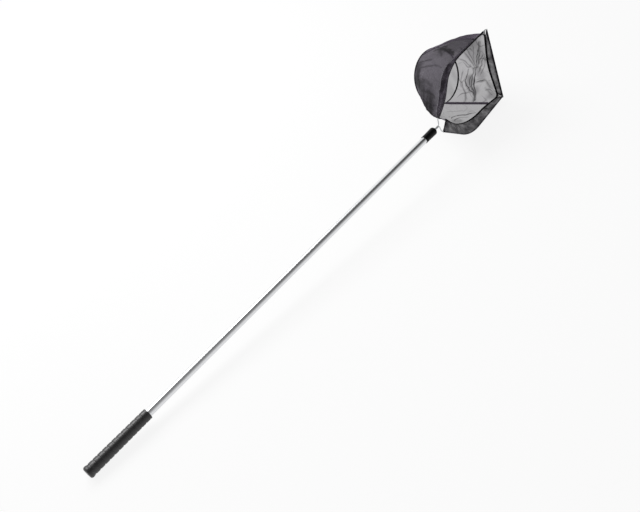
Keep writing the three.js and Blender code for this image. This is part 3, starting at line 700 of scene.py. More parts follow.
def path_object(name, path, closed=False, across=None, facing=None):
    """A mesh of edges along a path, with the directions that its stitches follow."""
    count = len(path)
    edges = [(i, i + 1) for i in range(count - 1)] + ([(count - 1, 0)] if closed else [])
    mesh = bpy.data.meshes.new(name)
    mesh.from_pydata([tuple(p) for p in path], edges, [])
    for label, vectors in (("across", across), ("facing", facing)):
        if vectors:
            attribute = mesh.attributes.new(label, "FLOAT_VECTOR", "POINT")
            attribute.data.foreach_set("vector", [c for v in vectors for c in v])
    obj = bpy.data.objects.new(name, mesh)
    bpy.context.scene.collection.objects.link(obj)
    return obj


def applied(obj, modifier):
    """Keeps what a modifier makes of an object as its plain mesh."""
    shaped = obj.evaluated_get(bpy.context.evaluated_depsgraph_get())
    mesh = bpy.data.meshes.new_from_object(shaped)
    old = obj.data
    obj.modifiers.remove(modifier)
    obj.data = mesh
    bpy.data.meshes.remove(old)
    mesh.name = obj.name


def grown(obj, name, values):
    """Runs a Geometry Nodes tree on an object and keeps the result as its plain mesh."""
    tree = bpy.data.node_groups.get(name) or TREES[name](name)
    modifier = obj.modifiers.new(tree.name, "NODES")
    modifier.node_group = tree
    for item in tree.interface.items_tree:
        if item.item_type == "SOCKET" and item.in_out == "INPUT" and item.name in values:
            modifier[item.identifier] = values[item.name]
    applied(obj, modifier)
    attributes = obj.data.attributes
    for label in ("across", "facing"):
        if label in attributes:
            attributes.remove(attributes[label])
    if len(obj.data.polygons) == 0:
        raise RuntimeError(f"{obj.name} came out empty")
    return obj


def rested(obj):
    """Flattens what would dip below the ground the net lies on."""
    ground = cad_box[0].z
    for vertex in obj.data.vertices:
        vertex.co.z = max(vertex.co.z, ground)


def finished(obj, look, slot, *replaced):
    """Gives a piece its finish and ties it to the frame."""
    rested(obj)
    if not obj.data.materials:
        obj.data.materials.append(finish(look))
    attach(obj, BODY)
    if replaced:
        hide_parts(*replaced)
    return obj


# Finishes


def rgba(value):
    return (value[0], value[1], value[2], 1.0)


def shaded(value, by):
    return tuple(min(1.0, v * by) for v in value[:3]) + (1.0,)


def streaks(tree, place, scale, **links):
    """Noise with its X scale along the pole and the other two round it."""
    turn = Layout().turn.to_3x3().transposed().to_euler()
    along = add_node(tree, "ShaderNodeMapping", {"Vector": place, "Rotation": tuple(turn)})
    stretched = add_node(tree, "ShaderNodeMapping", {"Vector": along, "Scale": scale})
    links = {"Vector": stretched, "Scale": 1.0, "Detail": 2.0, **links}
    return add_node(tree, "ShaderNodeTexNoise", links)


def new_material(name):
    material = bpy.data.materials.new(name)
    material.use_nodes = True
    tree = material.node_tree
    tree.nodes.clear()
    return material, tree, add_node(tree, "ShaderNodeTexCoord").outputs["Object"]


def toned(tree, pattern, value, low, high, rough=None, **links):
    """Ends a material: its colour, and its roughness if that varies too, follow a pattern."""
    shades = {0: pattern, 6: shaded(value, low), 7: shaded(value, high)}
    links["Base Color"] = add_node(tree, "ShaderNodeMix", shades, data_type="RGBA")
    if rough:
        ends = {"Value": pattern, "To Min": rough[0], "To Max": rough[1]}
        links["Roughness"] = add_node(tree, "ShaderNodeMapRange", ends)
    shader = add_node(tree, "ShaderNodeBsdfPrincipled", links)
    add_node(tree, "ShaderNodeOutputMaterial", {"Surface": shader})


def drawn_aluminium(name, value):
    """Drawn aluminium tube: long faint draw lines that stretch the glints along the pole."""
    material, tree, place = new_material(name)
    # Draw lines about 1 mm apart round the tube, drawn coarser than real, and 300 mm long
    lines = streaks(tree, place, (3.0, 900.0, 900.0), Roughness=0.6)
    span = {"Value": lines, "From Min": 0.3, "From Max": 0.7}
    tone = add_node(tree, "ShaderNodeMapRange", {**span, "To Min": 0.94, "To Max": 1.0})
    links = {0: 1.0, 6: rgba(value), 7: tone}
    dimmed = add_node(tree, "ShaderNodeMix", links, data_type="RGBA", blend_type="MULTIPLY")
    rough = add_node(tree, "ShaderNodeMapRange", {**span, "To Min": 0.22, "To Max": 0.28})
    links = {"Base Color": dimmed, "Roughness": rough, "Metallic": 1.0}
    shader = add_node(tree, "ShaderNodeBsdfPrincipled", links)
    add_node(tree, "ShaderNodeOutputMaterial", {"Surface": shader})
    return material


def bright_wire(name, value):
    """Bright drawn steel wire: smooth, a little duller than the tube, with faint rub marks."""
    material, tree, place = new_material(name)
    # Rub marks about 3 mm long
    links = {"Vector": place, "Scale": 320.0, "Detail": 3.0}
    marks = add_node(tree, "ShaderNodeTexNoise", links)
    toned(tree, marks, value, 0.8, 1.0, (0.2, 0.38), Metallic=1.0)
    return material


def moulded_rubber(name, value):
    """Moulded black rubber: satin and finely pitted, with cloudy patches a little paler and duller."""
    material, tree, place = new_material(name)
    # Spark-eroded mould grain, drawn at 0.8 mm so that it shows
    links = {"Vector": place, "Scale": 1250.0, "Detail": 3.0}
    grain = add_node(tree, "ShaderNodeTexNoise", links)
    links = {"Height": grain, "Strength": 0.25, "Distance": 0.2 * MM}
    bump = add_node(tree, "ShaderNodeBump", links)
    # Cloudy patches about 17 mm across
    cloud = add_node(tree, "ShaderNodeTexNoise", {"Vector": place, "Scale": 60.0, "Detail": 2.0})
    links = {"Normal": bump, "Specular IOR Level": 0.7}
    toned(tree, cloud, value, 0.75, 1.35, (0.34, 0.5), **links)
    return material


def moulded_plastic(name, value):
    """Injection-moulded black plastic: a low gloss with faint lengthwise flow marks."""
    material, tree, place = new_material(name)
    # Flow marks 2 mm apart round the cap and 40 mm long
    flow = streaks(tree, place, (25.0, 500.0, 500.0))
    toned(tree, flow, value, 0.6, 1.6, (0.2, 0.36), **{"Specular IOR Level": 0.12})
    return material


# What the cloth still lets through where it lies in many layers, and how dark its colour is painted
# there, a painted shade of the folded places
FULL_COVER = 0.985
FOLD_SHADE = 0.12


def mesh_cloth(name, value, cover, cell):
    """Knitted nylon mesh: fine dark thread that lets part of the light through.

    The attribute folds is 0 on flat cloth and 1 where it lies in many layers, which stop more light;
    there its colour is painted darker too, a painted shade.
    """
    material, tree, place = new_material(name)
    source = {"attribute_type": "GEOMETRY", "attribute_name": "folds_and_shade"}
    folds_and_shade = add_node(tree, "ShaderNodeAttribute", **source).outputs["Fac"]
    links = {"Vector": place, "Scale": 1.0 / cell}
    cells = add_node(tree, "ShaderNodeTexVoronoi", links, feature="DISTANCE_TO_EDGE")
    links = {"Value": cells, "From Max": 0.25, "To Min": 1.0, "To Max": 0.0}
    weave = add_node(tree, "ShaderNodeMapRange", links)
    # Uneven patches about 22 mm across
    patch = add_node(tree, "ShaderNodeTexNoise", {"Vector": place, "Scale": 45.0, "Detail": 4.0})
    links = {0: patch, 6: shaded(value, 0.8), 7: shaded(value, 1.25)}
    thread = add_node(tree, "ShaderNodeMix", links, data_type="RGBA")
    links = {0: weave, 6: shaded(value, 0.75), 7: thread}
    knitted = add_node(tree, "ShaderNodeMix", links, data_type="RGBA")
    # Where the cloth is folded its colour is painted darker, a painted shade
    links = {0: folds_and_shade, 6: knitted, 7: shaded(value, FOLD_SHADE)}
    tone = add_node(tree, "ShaderNodeMix", links, data_type="RGBA")
    links = {"Value": folds_and_shade, "To Min": cover, "To Max": FULL_COVER}
    stopped = add_node(tree, "ShaderNodeMapRange", links)
    links = {"Height": weave, "Strength": 0.3, "Distance": 0.3 * MM}
    bump = add_node(tree, "ShaderNodeBump", links)
    links = {"Base Color": tone, "Alpha": stopped, "Normal": bump}
    links.update({"Roughness": 0.8, "Specular IOR Level": 0.15})
    shader = add_node(tree, "ShaderNodeBsdfPrincipled", links)
    add_node(tree, "ShaderNodeOutputMaterial", {"Surface": shader})
    material.surface_render_method = "BLENDED"
    return material


def seam_cloth(name, value):
    """Folded or bound cloth edge: tightly woven, matt, with a fine uneven grain."""
    material, tree, place = new_material(name)
    # Grain 1.2 mm apart
    links = {"Vector": place, "Scale": 830.0, "Detail": 2.0}
    grain = add_node(tree, "ShaderNodeTexNoise", links)
    links = {"Height": grain, "Strength": 0.5, "Distance": 0.4 * MM}
    bump = add_node(tree, "ShaderNodeBump", links)
    links = {"Normal": bump, "Roughness": 0.85, "Specular IOR Level": 0.1}
    toned(tree, grain, value, 0.7, 1.4, **links)
    return material


def sewing_thread(name, value):
    """Polyester sewing thread: twisted, a little shinier than the cloth."""
    material, tree, place = new_material(name)
    # Twist about 1.8 mm long, drawn coarser than real so that it shows
    links = {"Vector": place, "Scale": 1100.0 / (2 * math.pi), "Distortion": 2.0}
    twist = add_node(tree, "ShaderNodeTexWave", links)
    toned(tree, twist, value, 0.7, 1.5, **{"Roughness": 0.6, "Specular IOR Level": 0.2})
    return material


WALL_CELL = 1.6 * MM
HEM_CELL = 1.4 * MM


def finish(name):
    """A finish by its name, made when it is first asked for."""
    f = settings().finish
    maker, *given = {
        "drawn_aluminium": (drawn_aluminium, f.aluminium),
        "bright_drawn_steel_wire": (bright_wire, f.wire),
        "moulded_black_rubber": (moulded_rubber, f.rubber),
        "moulded_black_plastic": (moulded_plastic, f.plastic),
        "knitted_nylon_mesh": (mesh_cloth, f.mesh, f.mesh_cover, WALL_CELL),
        "slack_nylon_mesh": (mesh_cloth, f.slack, f.slack_cover, WALL_CELL),
        "folded_nylon_hem": (mesh_cloth, f.hem, f.mesh_cover, HEM_CELL),
        "woven_black_seam_tape": (seam_cloth, f.seam),
        "felled_nylon_mesh": (seam_cloth, f.join),
        "felled_slack_mesh": (seam_cloth, f.slack),
        "pressed_nylon_ridge": (seam_cloth, f.ridge),
        "polyester_sewing_thread": (sewing_thread, f.thread),
    }[name]
    return bpy.data.materials.get(name) or maker(name, *given)


# Stage

# The camera, fitted to the photograph
CAMERA_LENS = 45
CAMERA_SENSOR = 36
CAMERA_PLACE = (-0.2092, -0.9597, 1.3685)
CAMERA_RIGHT = (0.64731, -0.75586, -0.09831)
CAMERA_ABOVE = (0.58991, 0.41511, 0.6926)
# The far soft light, from the net's middle, and its sides in metres
LAMP_OFFSET = (-0.15, 1.45, 1.5)
LAMP_SIZE = (1.8, 1.1)
# How far from the net's middle the floor's shade starts to fade, and where none is left
SHADE_NEAR = 1200 * MM
SHADE_FAR = 3000 * MM
# The dim gap in the white surroundings, as turns about the pole from straight up: where its middle
# is, how far it stays dark, and where it has faded out on the near and far side
GAP_MIDDLE = math.radians(-7)
GAP_CORE = math.radians(12)
GAP_NEAR = math.radians(108)
GAP_FAR = math.radians(44)
# How bright the gap is towards the butt and towards the net, and the headings for the two
GAP_BUTT = 0.24
GAP_NET = 0.03
HEADING_BUTT = 0.2
HEADING_NET = 0.55


def seen(tree):
    """1 for what the camera sees, straight or in metal or through cloth, and 0 for light."""
    path = add_node(tree, "ShaderNodeLightPath").outputs
    links = {0: path["Is Camera Ray"], 1: path["Is Glossy Ray"]}
    straight = add_node(tree, "ShaderNodeMath", links, operation="MAXIMUM")
    links = {0: straight, 1: path["Is Transmission Ray"]}
    return add_node(tree, "ShaderNodeMath", links, operation="MAXIMUM")


class NET_OT_stage(bpy.types.Operator):
    """Set the floor, the soft light, the white surroundings and the camera"""

    bl_idname = "pond_net.stage"
    bl_label = "Stage"

    def execute(self, context):
        centre = (cad_box[0] + cad_box[1]) / 2
        half = settings().stage.floor_size / 2
        corners = [(-half, -half), (half, -half), (half, half), (-half, half)]
        points = [Vector((centre.x + x, centre.y + y, cad_box[0].z)) for x, y in corners]
        floor = new_object("floor", points, [(0, 1, 2, 3)], smooth=False)
        floor.data.materials.append(self.floor_material(centre))
        self.light(centre)
        self.surroundings()
        self.camera(context)
        context.scene.view_settings.view_transform = "Standard"
        return {"FINISHED"}

    def floor_material(self, centre):
        """Seamless white paper: it keeps part of the net's soft shade, and none far from the net."""
        stage = settings().stage
        material, tree, place = new_material("seamless_white_paper")
        paper = add_node(tree, "ShaderNodeBsdfDiffuse", {"Color": rgba(stage.floor)})
        white = add_node(tree, "ShaderNodeEmission", {"Color": WHITE, "Strength": 1.0})
        links = {0: place, 1: tuple(centre)}
        away = add_node(tree, "ShaderNodeVectorMath", links, operation="DISTANCE").outputs["Value"]
        links = {"Value": away, "From Min": SHADE_NEAR, "From Max": SHADE_FAR}
        links.update({"To Min": 1 - stage.shade_kept, "To Max": 1.0})
        whiter = add_node(tree, "ShaderNodeMapRange", links, interpolation_type="SMOOTHSTEP")
        links = {0: seen(tree), 1: whiter}
        kept = add_node(tree, "ShaderNodeMath", links, operation="MULTIPLY")
        both = add_node(tree, "ShaderNodeMixShader", {0: kept, 1: paper, 2: white})
        add_node(tree, "ShaderNodeOutputMaterial", {"Surface": both})
        return material

    def light(self, centre):
        data = bpy.data.lights.new("far_softbox", "AREA")
        data.shape = "RECTANGLE"
        data.size, data.size_y = LAMP_SIZE
        data.energy = settings().stage.key
        lamp = bpy.data.objects.new("far_softbox", data)
        bpy.context.scene.collection.objects.link(lamp)
        lamp.location = centre + Vector(LAMP_OFFSET)
        aim = centre - lamp.location
        lamp.rotation_euler = aim.to_track_quat("-Z", "Y").to_euler()

    def surroundings(self):
        """White surroundings with a dim gap overhead that runs along the pole."""
        world = bpy.data.worlds.new("white_studio")
        world.use_nodes = True
        tree = world.node_tree
        tree.nodes.clear()
        heading = add_node(tree, "ShaderNodeTexCoord").outputs["Generated"]
        parts = add_node(tree, "ShaderNodeSeparateXYZ", {0: heading}).outputs
        links = {0: parts["Y"], 1: parts["Z"]}
        turn = add_node(tree, "ShaderNodeMath", links, operation="ARCTAN2")
        away = add_node(tree, "ShaderNodeMath", {0: turn, 1: GAP_MIDDLE}, operation="SUBTRACT")
        flanks = []
        for start, end in ((-GAP_CORE, -GAP_NEAR), (GAP_CORE, GAP_FAR)):
            links = {"Value": away, "From Min": start, "From Max": end}
            flank = add_node(tree, "ShaderNodeMapRange", links, interpolation_type="SMOOTHSTEP")
            flanks.append(flank)
        links = {0: flanks[0], 1: flanks[1]}
        bright = add_node(tree, "ShaderNodeMath", links, operation="MAXIMUM")
        links = {"Value": parts["X"], "From Min": HEADING_BUTT, "From Max": HEADING_NET}
        links.update({"To Min": GAP_BUTT, "To Max": GAP_NET})
        gap = add_node(tree, "ShaderNodeMapRange", links)
        dim = add_node(tree, "ShaderNodeMapRange", {"Value": bright, "To Min": gap, "To Max": 1.0})
        links = {"Value": seen(tree), "To Min": settings().stage.fill, "To Max": 1.0}
        strength = add_node(tree, "ShaderNodeMapRange", links)
        lit = add_node(tree, "ShaderNodeMath", {0: dim, 1: strength}, operation="MULTIPLY")
        camera_ray = add_node(tree, "ShaderNodeLightPath").outputs["Is Camera Ray"]
        links = {0: camera_ray, 2: lit, 3: 1.0}
        plain = add_node(tree, "ShaderNodeMix", links, data_type="FLOAT")
        back = add_node(tree, "ShaderNodeBackground", {"Color": WHITE, "Strength": plain})
        add_node(tree, "ShaderNodeOutputWorld", {"Surface": back})
        bpy.context.scene.world = world

    def camera(self, context):
        data = bpy.data.cameras.new("camera")
        data.lens = CAMERA_LENS
        data.sensor_width = CAMERA_SENSOR
        camera = bpy.data.objects.new("camera", data)
        context.scene.collection.objects.link(camera)
        camera.location = CAMERA_PLACE
        right, above = Vector(CAMERA_RIGHT), Vector(CAMERA_ABOVE)
        axes = Matrix((right, above, right.cross(above)))
        camera.rotation_euler = axes.transposed().to_euler()
        context.scene.camera = camera


# Handle

# Rounding of the bead at the butt, and how far after it the neck and the rings start
GRIP_BEAD_ROUND = 1.2 * MM
GRIP_NECK = 4 * MM
RINGS_AFTER_BEAD = 5 * MM
# How far before the front end the rings end, the lip starts, it is nearly full, and its rounding
RINGS_BEFORE_END = 3.5 * MM
LIP_START = 6 * MM
LIP_FULL = 3.2 * MM
LIP_EDGE = 1.0 * MM
# How much of the rings' height the lip has where it is nearly full
LIP_RISE = 0.8
# A ring's whole height in depths of its groove: the rest is sunk in the sleeve
RING_SINK = 2.4


class NET_OT_grip(bpy.types.Operator):
    """Make the moulded grip with its raised rings"""

    bl_idname = "pond_net.grip"
    bl_label = "Grip"

    def execute(self, context):
        lay = Layout()
        h = settings().handle
        look = "moulded_black_rubber"
        butt = h.grip_butt / 2
        bore = h.pole_diameter / 2 + SEAT_GAP
        start = GRIP_BUTT_BEAD + RINGS_AFTER_BEAD
        pitch = (h.grip_length - start - RINGS_BEFORE_END) / h.ring_count
        rear = h.grip_body / 2 - h.ring_depth
        front = h.grip_front / 2 - h.ring_depth
        lip = front + h.ring_depth - LIP_EDGE
        profile = [(0, 0)]
        profile += rounded(GRIP_BUTT_ROUND, butt - GRIP_BUTT_ROUND, GRIP_BUTT_ROUND, 180, 90, 10)
        profile += rounded(GRIP_BUTT_BEAD, butt - GRIP_BEAD_ROUND, GRIP_BEAD_ROUND, 90, 40, 5)
        profile += [(GRIP_BUTT_BEAD + GRIP_NECK, rear + h.ring_depth / 2), (start, rear)]
        profile += [(h.grip_length - LIP_START, front)]
        profile += [(h.grip_length - LIP_FULL, front + h.ring_depth * LIP_RISE)]
        profile += rounded(h.grip_length - LIP_EDGE, lip, LIP_EDGE, 90, 0, 5)
        profile += [(h.grip_length, bore), (GRIP_END_WALL, bore), (GRIP_END_WALL, 0)]
        sleeve = turned("grip_body", profile, lay.turn)
        finished(sleeve, look, "grip_rubber", "grip_sleeve")
        rings = path_object("grip_rings", [Vector((0, 0, 0)), Vector((pitch, 0, 0))])
        height = h.ring_depth * RING_SINK
        values = {
            "Count": h.ring_count,
            "Start": start + pitch / 2,
            "Pitch": pitch,
            "Band Width": pitch - h.ring_groove,
            "Band Height": height,
            "First Radius": h.grip_body / 2 - height / 2,
            "Last Radius": h.grip_front / 2 - height / 2,
            "Finish": finish(look),
        }
        grown(rings, "net_grip_rings", values)
        rings.data.transform(lay.turn)
        finished(rings, look, "grip_rubber")
        return {"FINISHED"}


class NET_OT_pole(bpy.types.Operator):
    """Make the aluminium pole"""

    bl_idname = "pond_net.pole"
    bl_label = "Pole"

    def execute(self, context):
        h = settings().handle
        outer = h.pole_diameter / 2
        inner = outer - h.pole_wall
        start = GRIP_END_WALL + SEAT_GAP
        end = h.length - COLLAR_NOSE_WALL - POLE_TO_NOSE_WALL
        rows = 60
        profile = [(start, inner)]
        profile += [(start + (end - start) * i / rows, outer) for i in range(rows + 1)]
        profile += [(end, inner), (start, inner)]
        pole = turned("aluminium_pole", profile, Layout().turn)
        sharp_ends(pole)
        finished(pole, "drawn_aluminium", "pole_aluminium", "pole_tube")
        return {"FINISHED"}


# Chamfer at the cap's rear edge, how far the drill reaches to each side of the nose, and its sides
COLLAR_EDGE = 0.4 * MM
DRILL_REACH = 8 * MM
DRILL_SIDES = 24


class NET_OT_collar(bpy.types.Operator):
    """Make the cap on the pole's end, with its two holes for the shanks"""

    bl_idname = "pond_net.collar"
    bl_label = "Collar"

    def execute(self, context):
        h, hoop = settings().handle, settings().hoop
        bore = h.pole_diameter / 2 + SEAT_GAP
        outer = bore + h.collar_wall
        nose = outer + COLLAR_SWELL - COLLAR_NOSE_ROUND
        start = h.length - h.collar_length
        profile = [(start, bore), (start, outer - COLLAR_EDGE), (start + COLLAR_EDGE, outer)]
        profile += [(start + h.collar_length / 3, outer)]
        profile += rounded(h.length - COLLAR_NOSE_ROUND, nose, COLLAR_NOSE_ROUND, 90, 12, 14)
        profile += [(h.length, COLLAR_NOSE_FLAT), (h.length, 0)]
        profile += [(h.length - COLLAR_NOSE_WALL, 0), (h.length - COLLAR_NOSE_WALL, bore)]
        profile += [(start, bore)]
        collar = turned("end_cap", profile, Matrix.Identity(4))
        for side in (UP, DOWN):
            self.bored(collar, side * hoop.shank_spacing / 2, hoop.wire_diameter / 2 + SEAT_GAP)
        collar.data.transform(Layout().turn)
        sharp_ends(collar)
        finished(collar, "moulded_black_plastic", "collar_plastic", "end_collar")
        plug_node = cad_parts["wire_plug"]
        plug_node.data.materials.clear()
        plug_node.data.materials.append(finish("moulded_black_plastic"))
        return {"FINISHED"}

    def bored(self, collar, sideways, radius):
        end = settings().handle.length
        turns = [2 * math.pi * i / DRILL_SIDES for i in range(DRILL_SIDES)]
        rings = [
            [Vector((x, radius * math.cos(at), sideways + radius * math.sin(at))) for at in turns]
            for x in (end - DRILL_REACH, end + DRILL_REACH)
        ]
        drill = new_object("drill", *lofted(rings))
        cutter = collar.modifiers.new("bore", "BOOLEAN")
        cutter.operation = "DIFFERENCE"
        cutter.object = drill
        cutter.solver = "EXACT"
        applied(collar, cutter)
        bpy.data.objects.remove(drill)


WIRE_SIDES = 20


class NET_OT_hoop(bpy.types.Operator):
    """Bend the wire hoop with its two shanks"""

    bl_idname = "pond_net.hoop"
    bl_label = "Wire hoop"

    def execute(self, context):
        lay = Layout()
        look = "bright_drawn_steel_wire"
        wire = path_object("hoop_wire", [lay.place @ p for p in lay.wire_path()])
        radius = settings().hoop.wire_diameter / 2
        grown(wire, "net_tube", {"Radius": radius, "Sides": WIRE_SIDES, "Finish": finish(look)})
        finished(wire, look, "hoop_wire", "frame_wire")
        return {"FINISHED"}


# Hems

# How folded each hem's cloth looks, from 0 to 1, and where its ripples start in the noise
HEM_FOLDS = {UP: 0.7, DOWN: 0.32, BAR: 0.28}
HEM_SEEDS = {UP: 3.1, DOWN: 7.7, BAR: 11.3}
# The upper hem's cloth is bunched past the wire at its end: how far, and over which share of it
TUCK_WIDTH = 22 * MM
TUCK_SHARE = 0.22
# The hem's puckers: how close together, and how high the broad and the fine ones are
HEM_PUCKER_SCALE = 70
HEM_FINE_SCALE = 3.1
HEM_PUCKER = 1.6 * MM
HEM_FINE_PUCKER = 0.7 * MM
# Steps of a hem for each step of its path, and over how many its puckers and its darker end fade
HEM_FINER = 3
FLAT_STEPS = 6
DARK_STEPS = 5
# The share of a hem's width in which it narrows from the wire to two layers, how far each layer is
# from the middle there, and how much less it is at the edge, in thicknesses of the cloth
HEM_NECK = 0.3
NECK_GAPS = 1.6
NECK_CLOSING = 0.6
# Steps down one layer of the hem and round the wire, and where the round part starts in a section
LAYER_STEPS = 10
FOLD_STEPS = 16
FOLD_FIRST = 2 * (LAYER_STEPS + 1)
# Where the round part starts and how far it turns, in degrees
FOLD_START = 150
FOLD_TURN = 240
# Ripples in a hem's shade, broad and fine: how close together and how strong
HEM_RIPPLES = ((60, 1.0), (170, 0.6))
RIPPLE_SHADE = 0.45
# How much darker a hem is at its ends, along the front bar, and along the upper wire, where that
# starts after a share of its length and is full after another
END_SHADE = 0.6
# Along the wire the hem's colour is painted darker, a painted shade of the cloth folded round it, beside
# its extra layers
BAR_WIRE_SHADE = 0.6
UPPER_WIRE_SHADE = 0.35
UPPER_SHADE_START = 0.3
UPPER_SHADE_RUN = 0.2
# The gathered corners: rows of cloth, how far they draw into the corner, how deep they start, and
# the height, turns in radians and shade of their gathers
CORNER_ROWS = 14
CORNER_DRAW = 0.35
CORNER_DEPTH = 3 * MM
GATHER_HEIGHT = 0.6 * MM
GATHER_TURNS = 22
GATHER_SHADE_TURNS = 19
GATHER_SLANT = 0.2
GATHER_SHADES = (0.45, 0.35)


def hem_section(fold_radius, square, slant, layer_gap, pucker, overhang):
    """A fold round the wire that narrows to two layers: points as across, square and along."""
    neck = HEM_NECK * square
    down = [
        (
            layer_gap * (NECK_GAPS - NECK_CLOSING * i / LAYER_STEPS),
            neck + (square - neck) * i / LAYER_STEPS,
        )
        for i in range(LAYER_STEPS + 1)
    ]
    outline = down + [(-u, v) for u, v in reversed(down)]
    for i in range(FOLD_STEPS + 1):
        at = math.radians(FOLD_START + FOLD_TURN * i / FOLD_STEPS)
        past = overhang * max(0.0, -math.sin(at)) ** 2
        outline.append((fold_radius * math.cos(at), fold_radius * math.sin(at) - past))
    return [(u + pucker * max(0.0, v / square), v, max(0.0, v) * slant) for u, v in outline]


def from_ends(i, steps, reach):
    """0 at both ends of a run of steps, and 1 from a number of steps inside them."""
    return min(1.0, i / reach, (steps - i) / reach)


class NET_OT_hems(bpy.types.Operator):
    """Fold the hems round the wire and close the mouth's front corners"""

    bl_idname = "pond_net.hems"
    bl_label = "Hems"

    def execute(self, context):
        lay = Layout()
        look = "folded_nylon_hem"
        for side, name, node in (
            (UP, "hem_upper", "upper_hem"),
            (DOWN, "hem_lower", "lower_hem"),
            (BAR, "hem_front", "front_hem"),
        ):
            finished(self.hem(lay, side, name), look, "hem_cloth", node)
        for side, name, node in (
            (UP, "hem_corner_upper", "upper_gusset"),
            (DOWN, "hem_corner_lower", "lower_gusset"),
        ):
            gusset = finished(self.corner(lay, side, name), look, "hem_cloth", node)
            size = sheet_size(gusset)
        return {"FINISHED"}

    def hem(self, lay, side, name):
        hoop = settings().hoop
        wire, edge = [subdivided(path, HEM_FINER) for path in lay.hem_paths(side)]
        steps = len(wire) - 1
        fold = hoop.wire_diameter / 2 + SEAT_GAP + hoop.hem_cloth
        seed = HEM_SEEDS[side]
        rings = []
        for i, (point, way) in enumerate(zip(wire, tangents(wire))):
            reach = edge[i] - point
            along = (reach - way * reach.dot(way)).normalized()
            across = along.cross(way)
            square = reach.dot(along)
            slant = reach.dot(way) / square
            where = point * HEM_PUCKER_SCALE
            pucker = noise.noise(where + Vector((seed, 0, 0))) * HEM_PUCKER
            fine = noise.noise(where * HEM_FINE_SCALE + Vector((0, seed, 0)))
            pucker += fine * HEM_FINE_PUCKER
            pucker *= from_ends(i, steps, FLAT_STEPS)
            overhang = 0.0
            if side == UP:
                overhang = TUCK_WIDTH * smooth_step(1 - i / steps / TUCK_SHARE)
            section = hem_section(fold, square, slant, hoop.hem_cloth, pucker, overhang)
            rings.append([point + across * u + along * v + way * w for u, v, w in section])
        points, faces = lofted(rings)
        obj = new_object(name, [lay.place @ p for p in points], faces)
        spots = [(i, j) for i in range(steps + 1) for j in range(len(rings[0]))]
        mark_folds_and_shade(obj, [self.shade(side, rings, i, j) for i, j in spots])
        return obj

    def shade(self, side, rings, i, j):
        """How folded a hem is at a point of a ring: more at its ends and, on two, at the wire, where it
        is a painted shade.
        """
        steps = len(rings) - 1
        point, start = rings[i][j], Vector((HEM_SEEDS[side], 2, 5))
        ripple = sum(noise.noise(point * scale + start) * strong for scale, strong in HEM_RIPPLES)
        shade = HEM_FOLDS[side] + RIPPLE_SHADE * ripple
        shade += END_SHADE * (1 - from_ends(i, steps, DARK_STEPS))
        if side == UP and j >= FOLD_FIRST:
            reached = smooth_step((i / steps - UPPER_SHADE_START) / UPPER_SHADE_RUN)
            shade += UPPER_WIRE_SHADE * reached
        if side == BAR and j >= FOLD_FIRST:
            shade += BAR_WIRE_SHADE
        return clamped(shade)

    def corner(self, lay, side, name):
        """Gathered cloth between the ends of two hems."""
        start, end = lay.arc(4 if side == UP else 6)
        arc = lay.mouth[start : end + 1]
        if side == DOWN:
            arc = arc[::-1]
        wires = [lay.hem_paths(side)[0][-1], lay.hem_paths(BAR)[0][0 if side == UP else -1]]
        corner = lay.corners(side)[3]
        columns, rows = len(arc) - 1, CORNER_ROWS
        plain, deeper = GATHER_SHADES
        grid, gathers = [], []
        for i in range(rows + 1):
            line = []
            for j in range(columns + 1):
                u = j / columns
                rim = wires[0].lerp(wires[1], u)
                rim = rim.lerp(corner, CORNER_DRAW * math.sin(math.pi * u))
                point = (rim + in_plane(0, 0, CORNER_DEPTH)).lerp(arc[j], i / rows)
                ripple = math.sin(u * GATHER_TURNS) * GATHER_HEIGHT * math.sin(math.pi * i / rows)
                line.append(point + (point - corner).normalized() * ripple)
                turn = u * GATHER_SHADE_TURNS + i * GATHER_SLANT
                gathers.append(plain + deeper * math.sin(turn) ** 2)
            grid.append(line)
        return cloth_object(name, grid, gathers, lay.place)
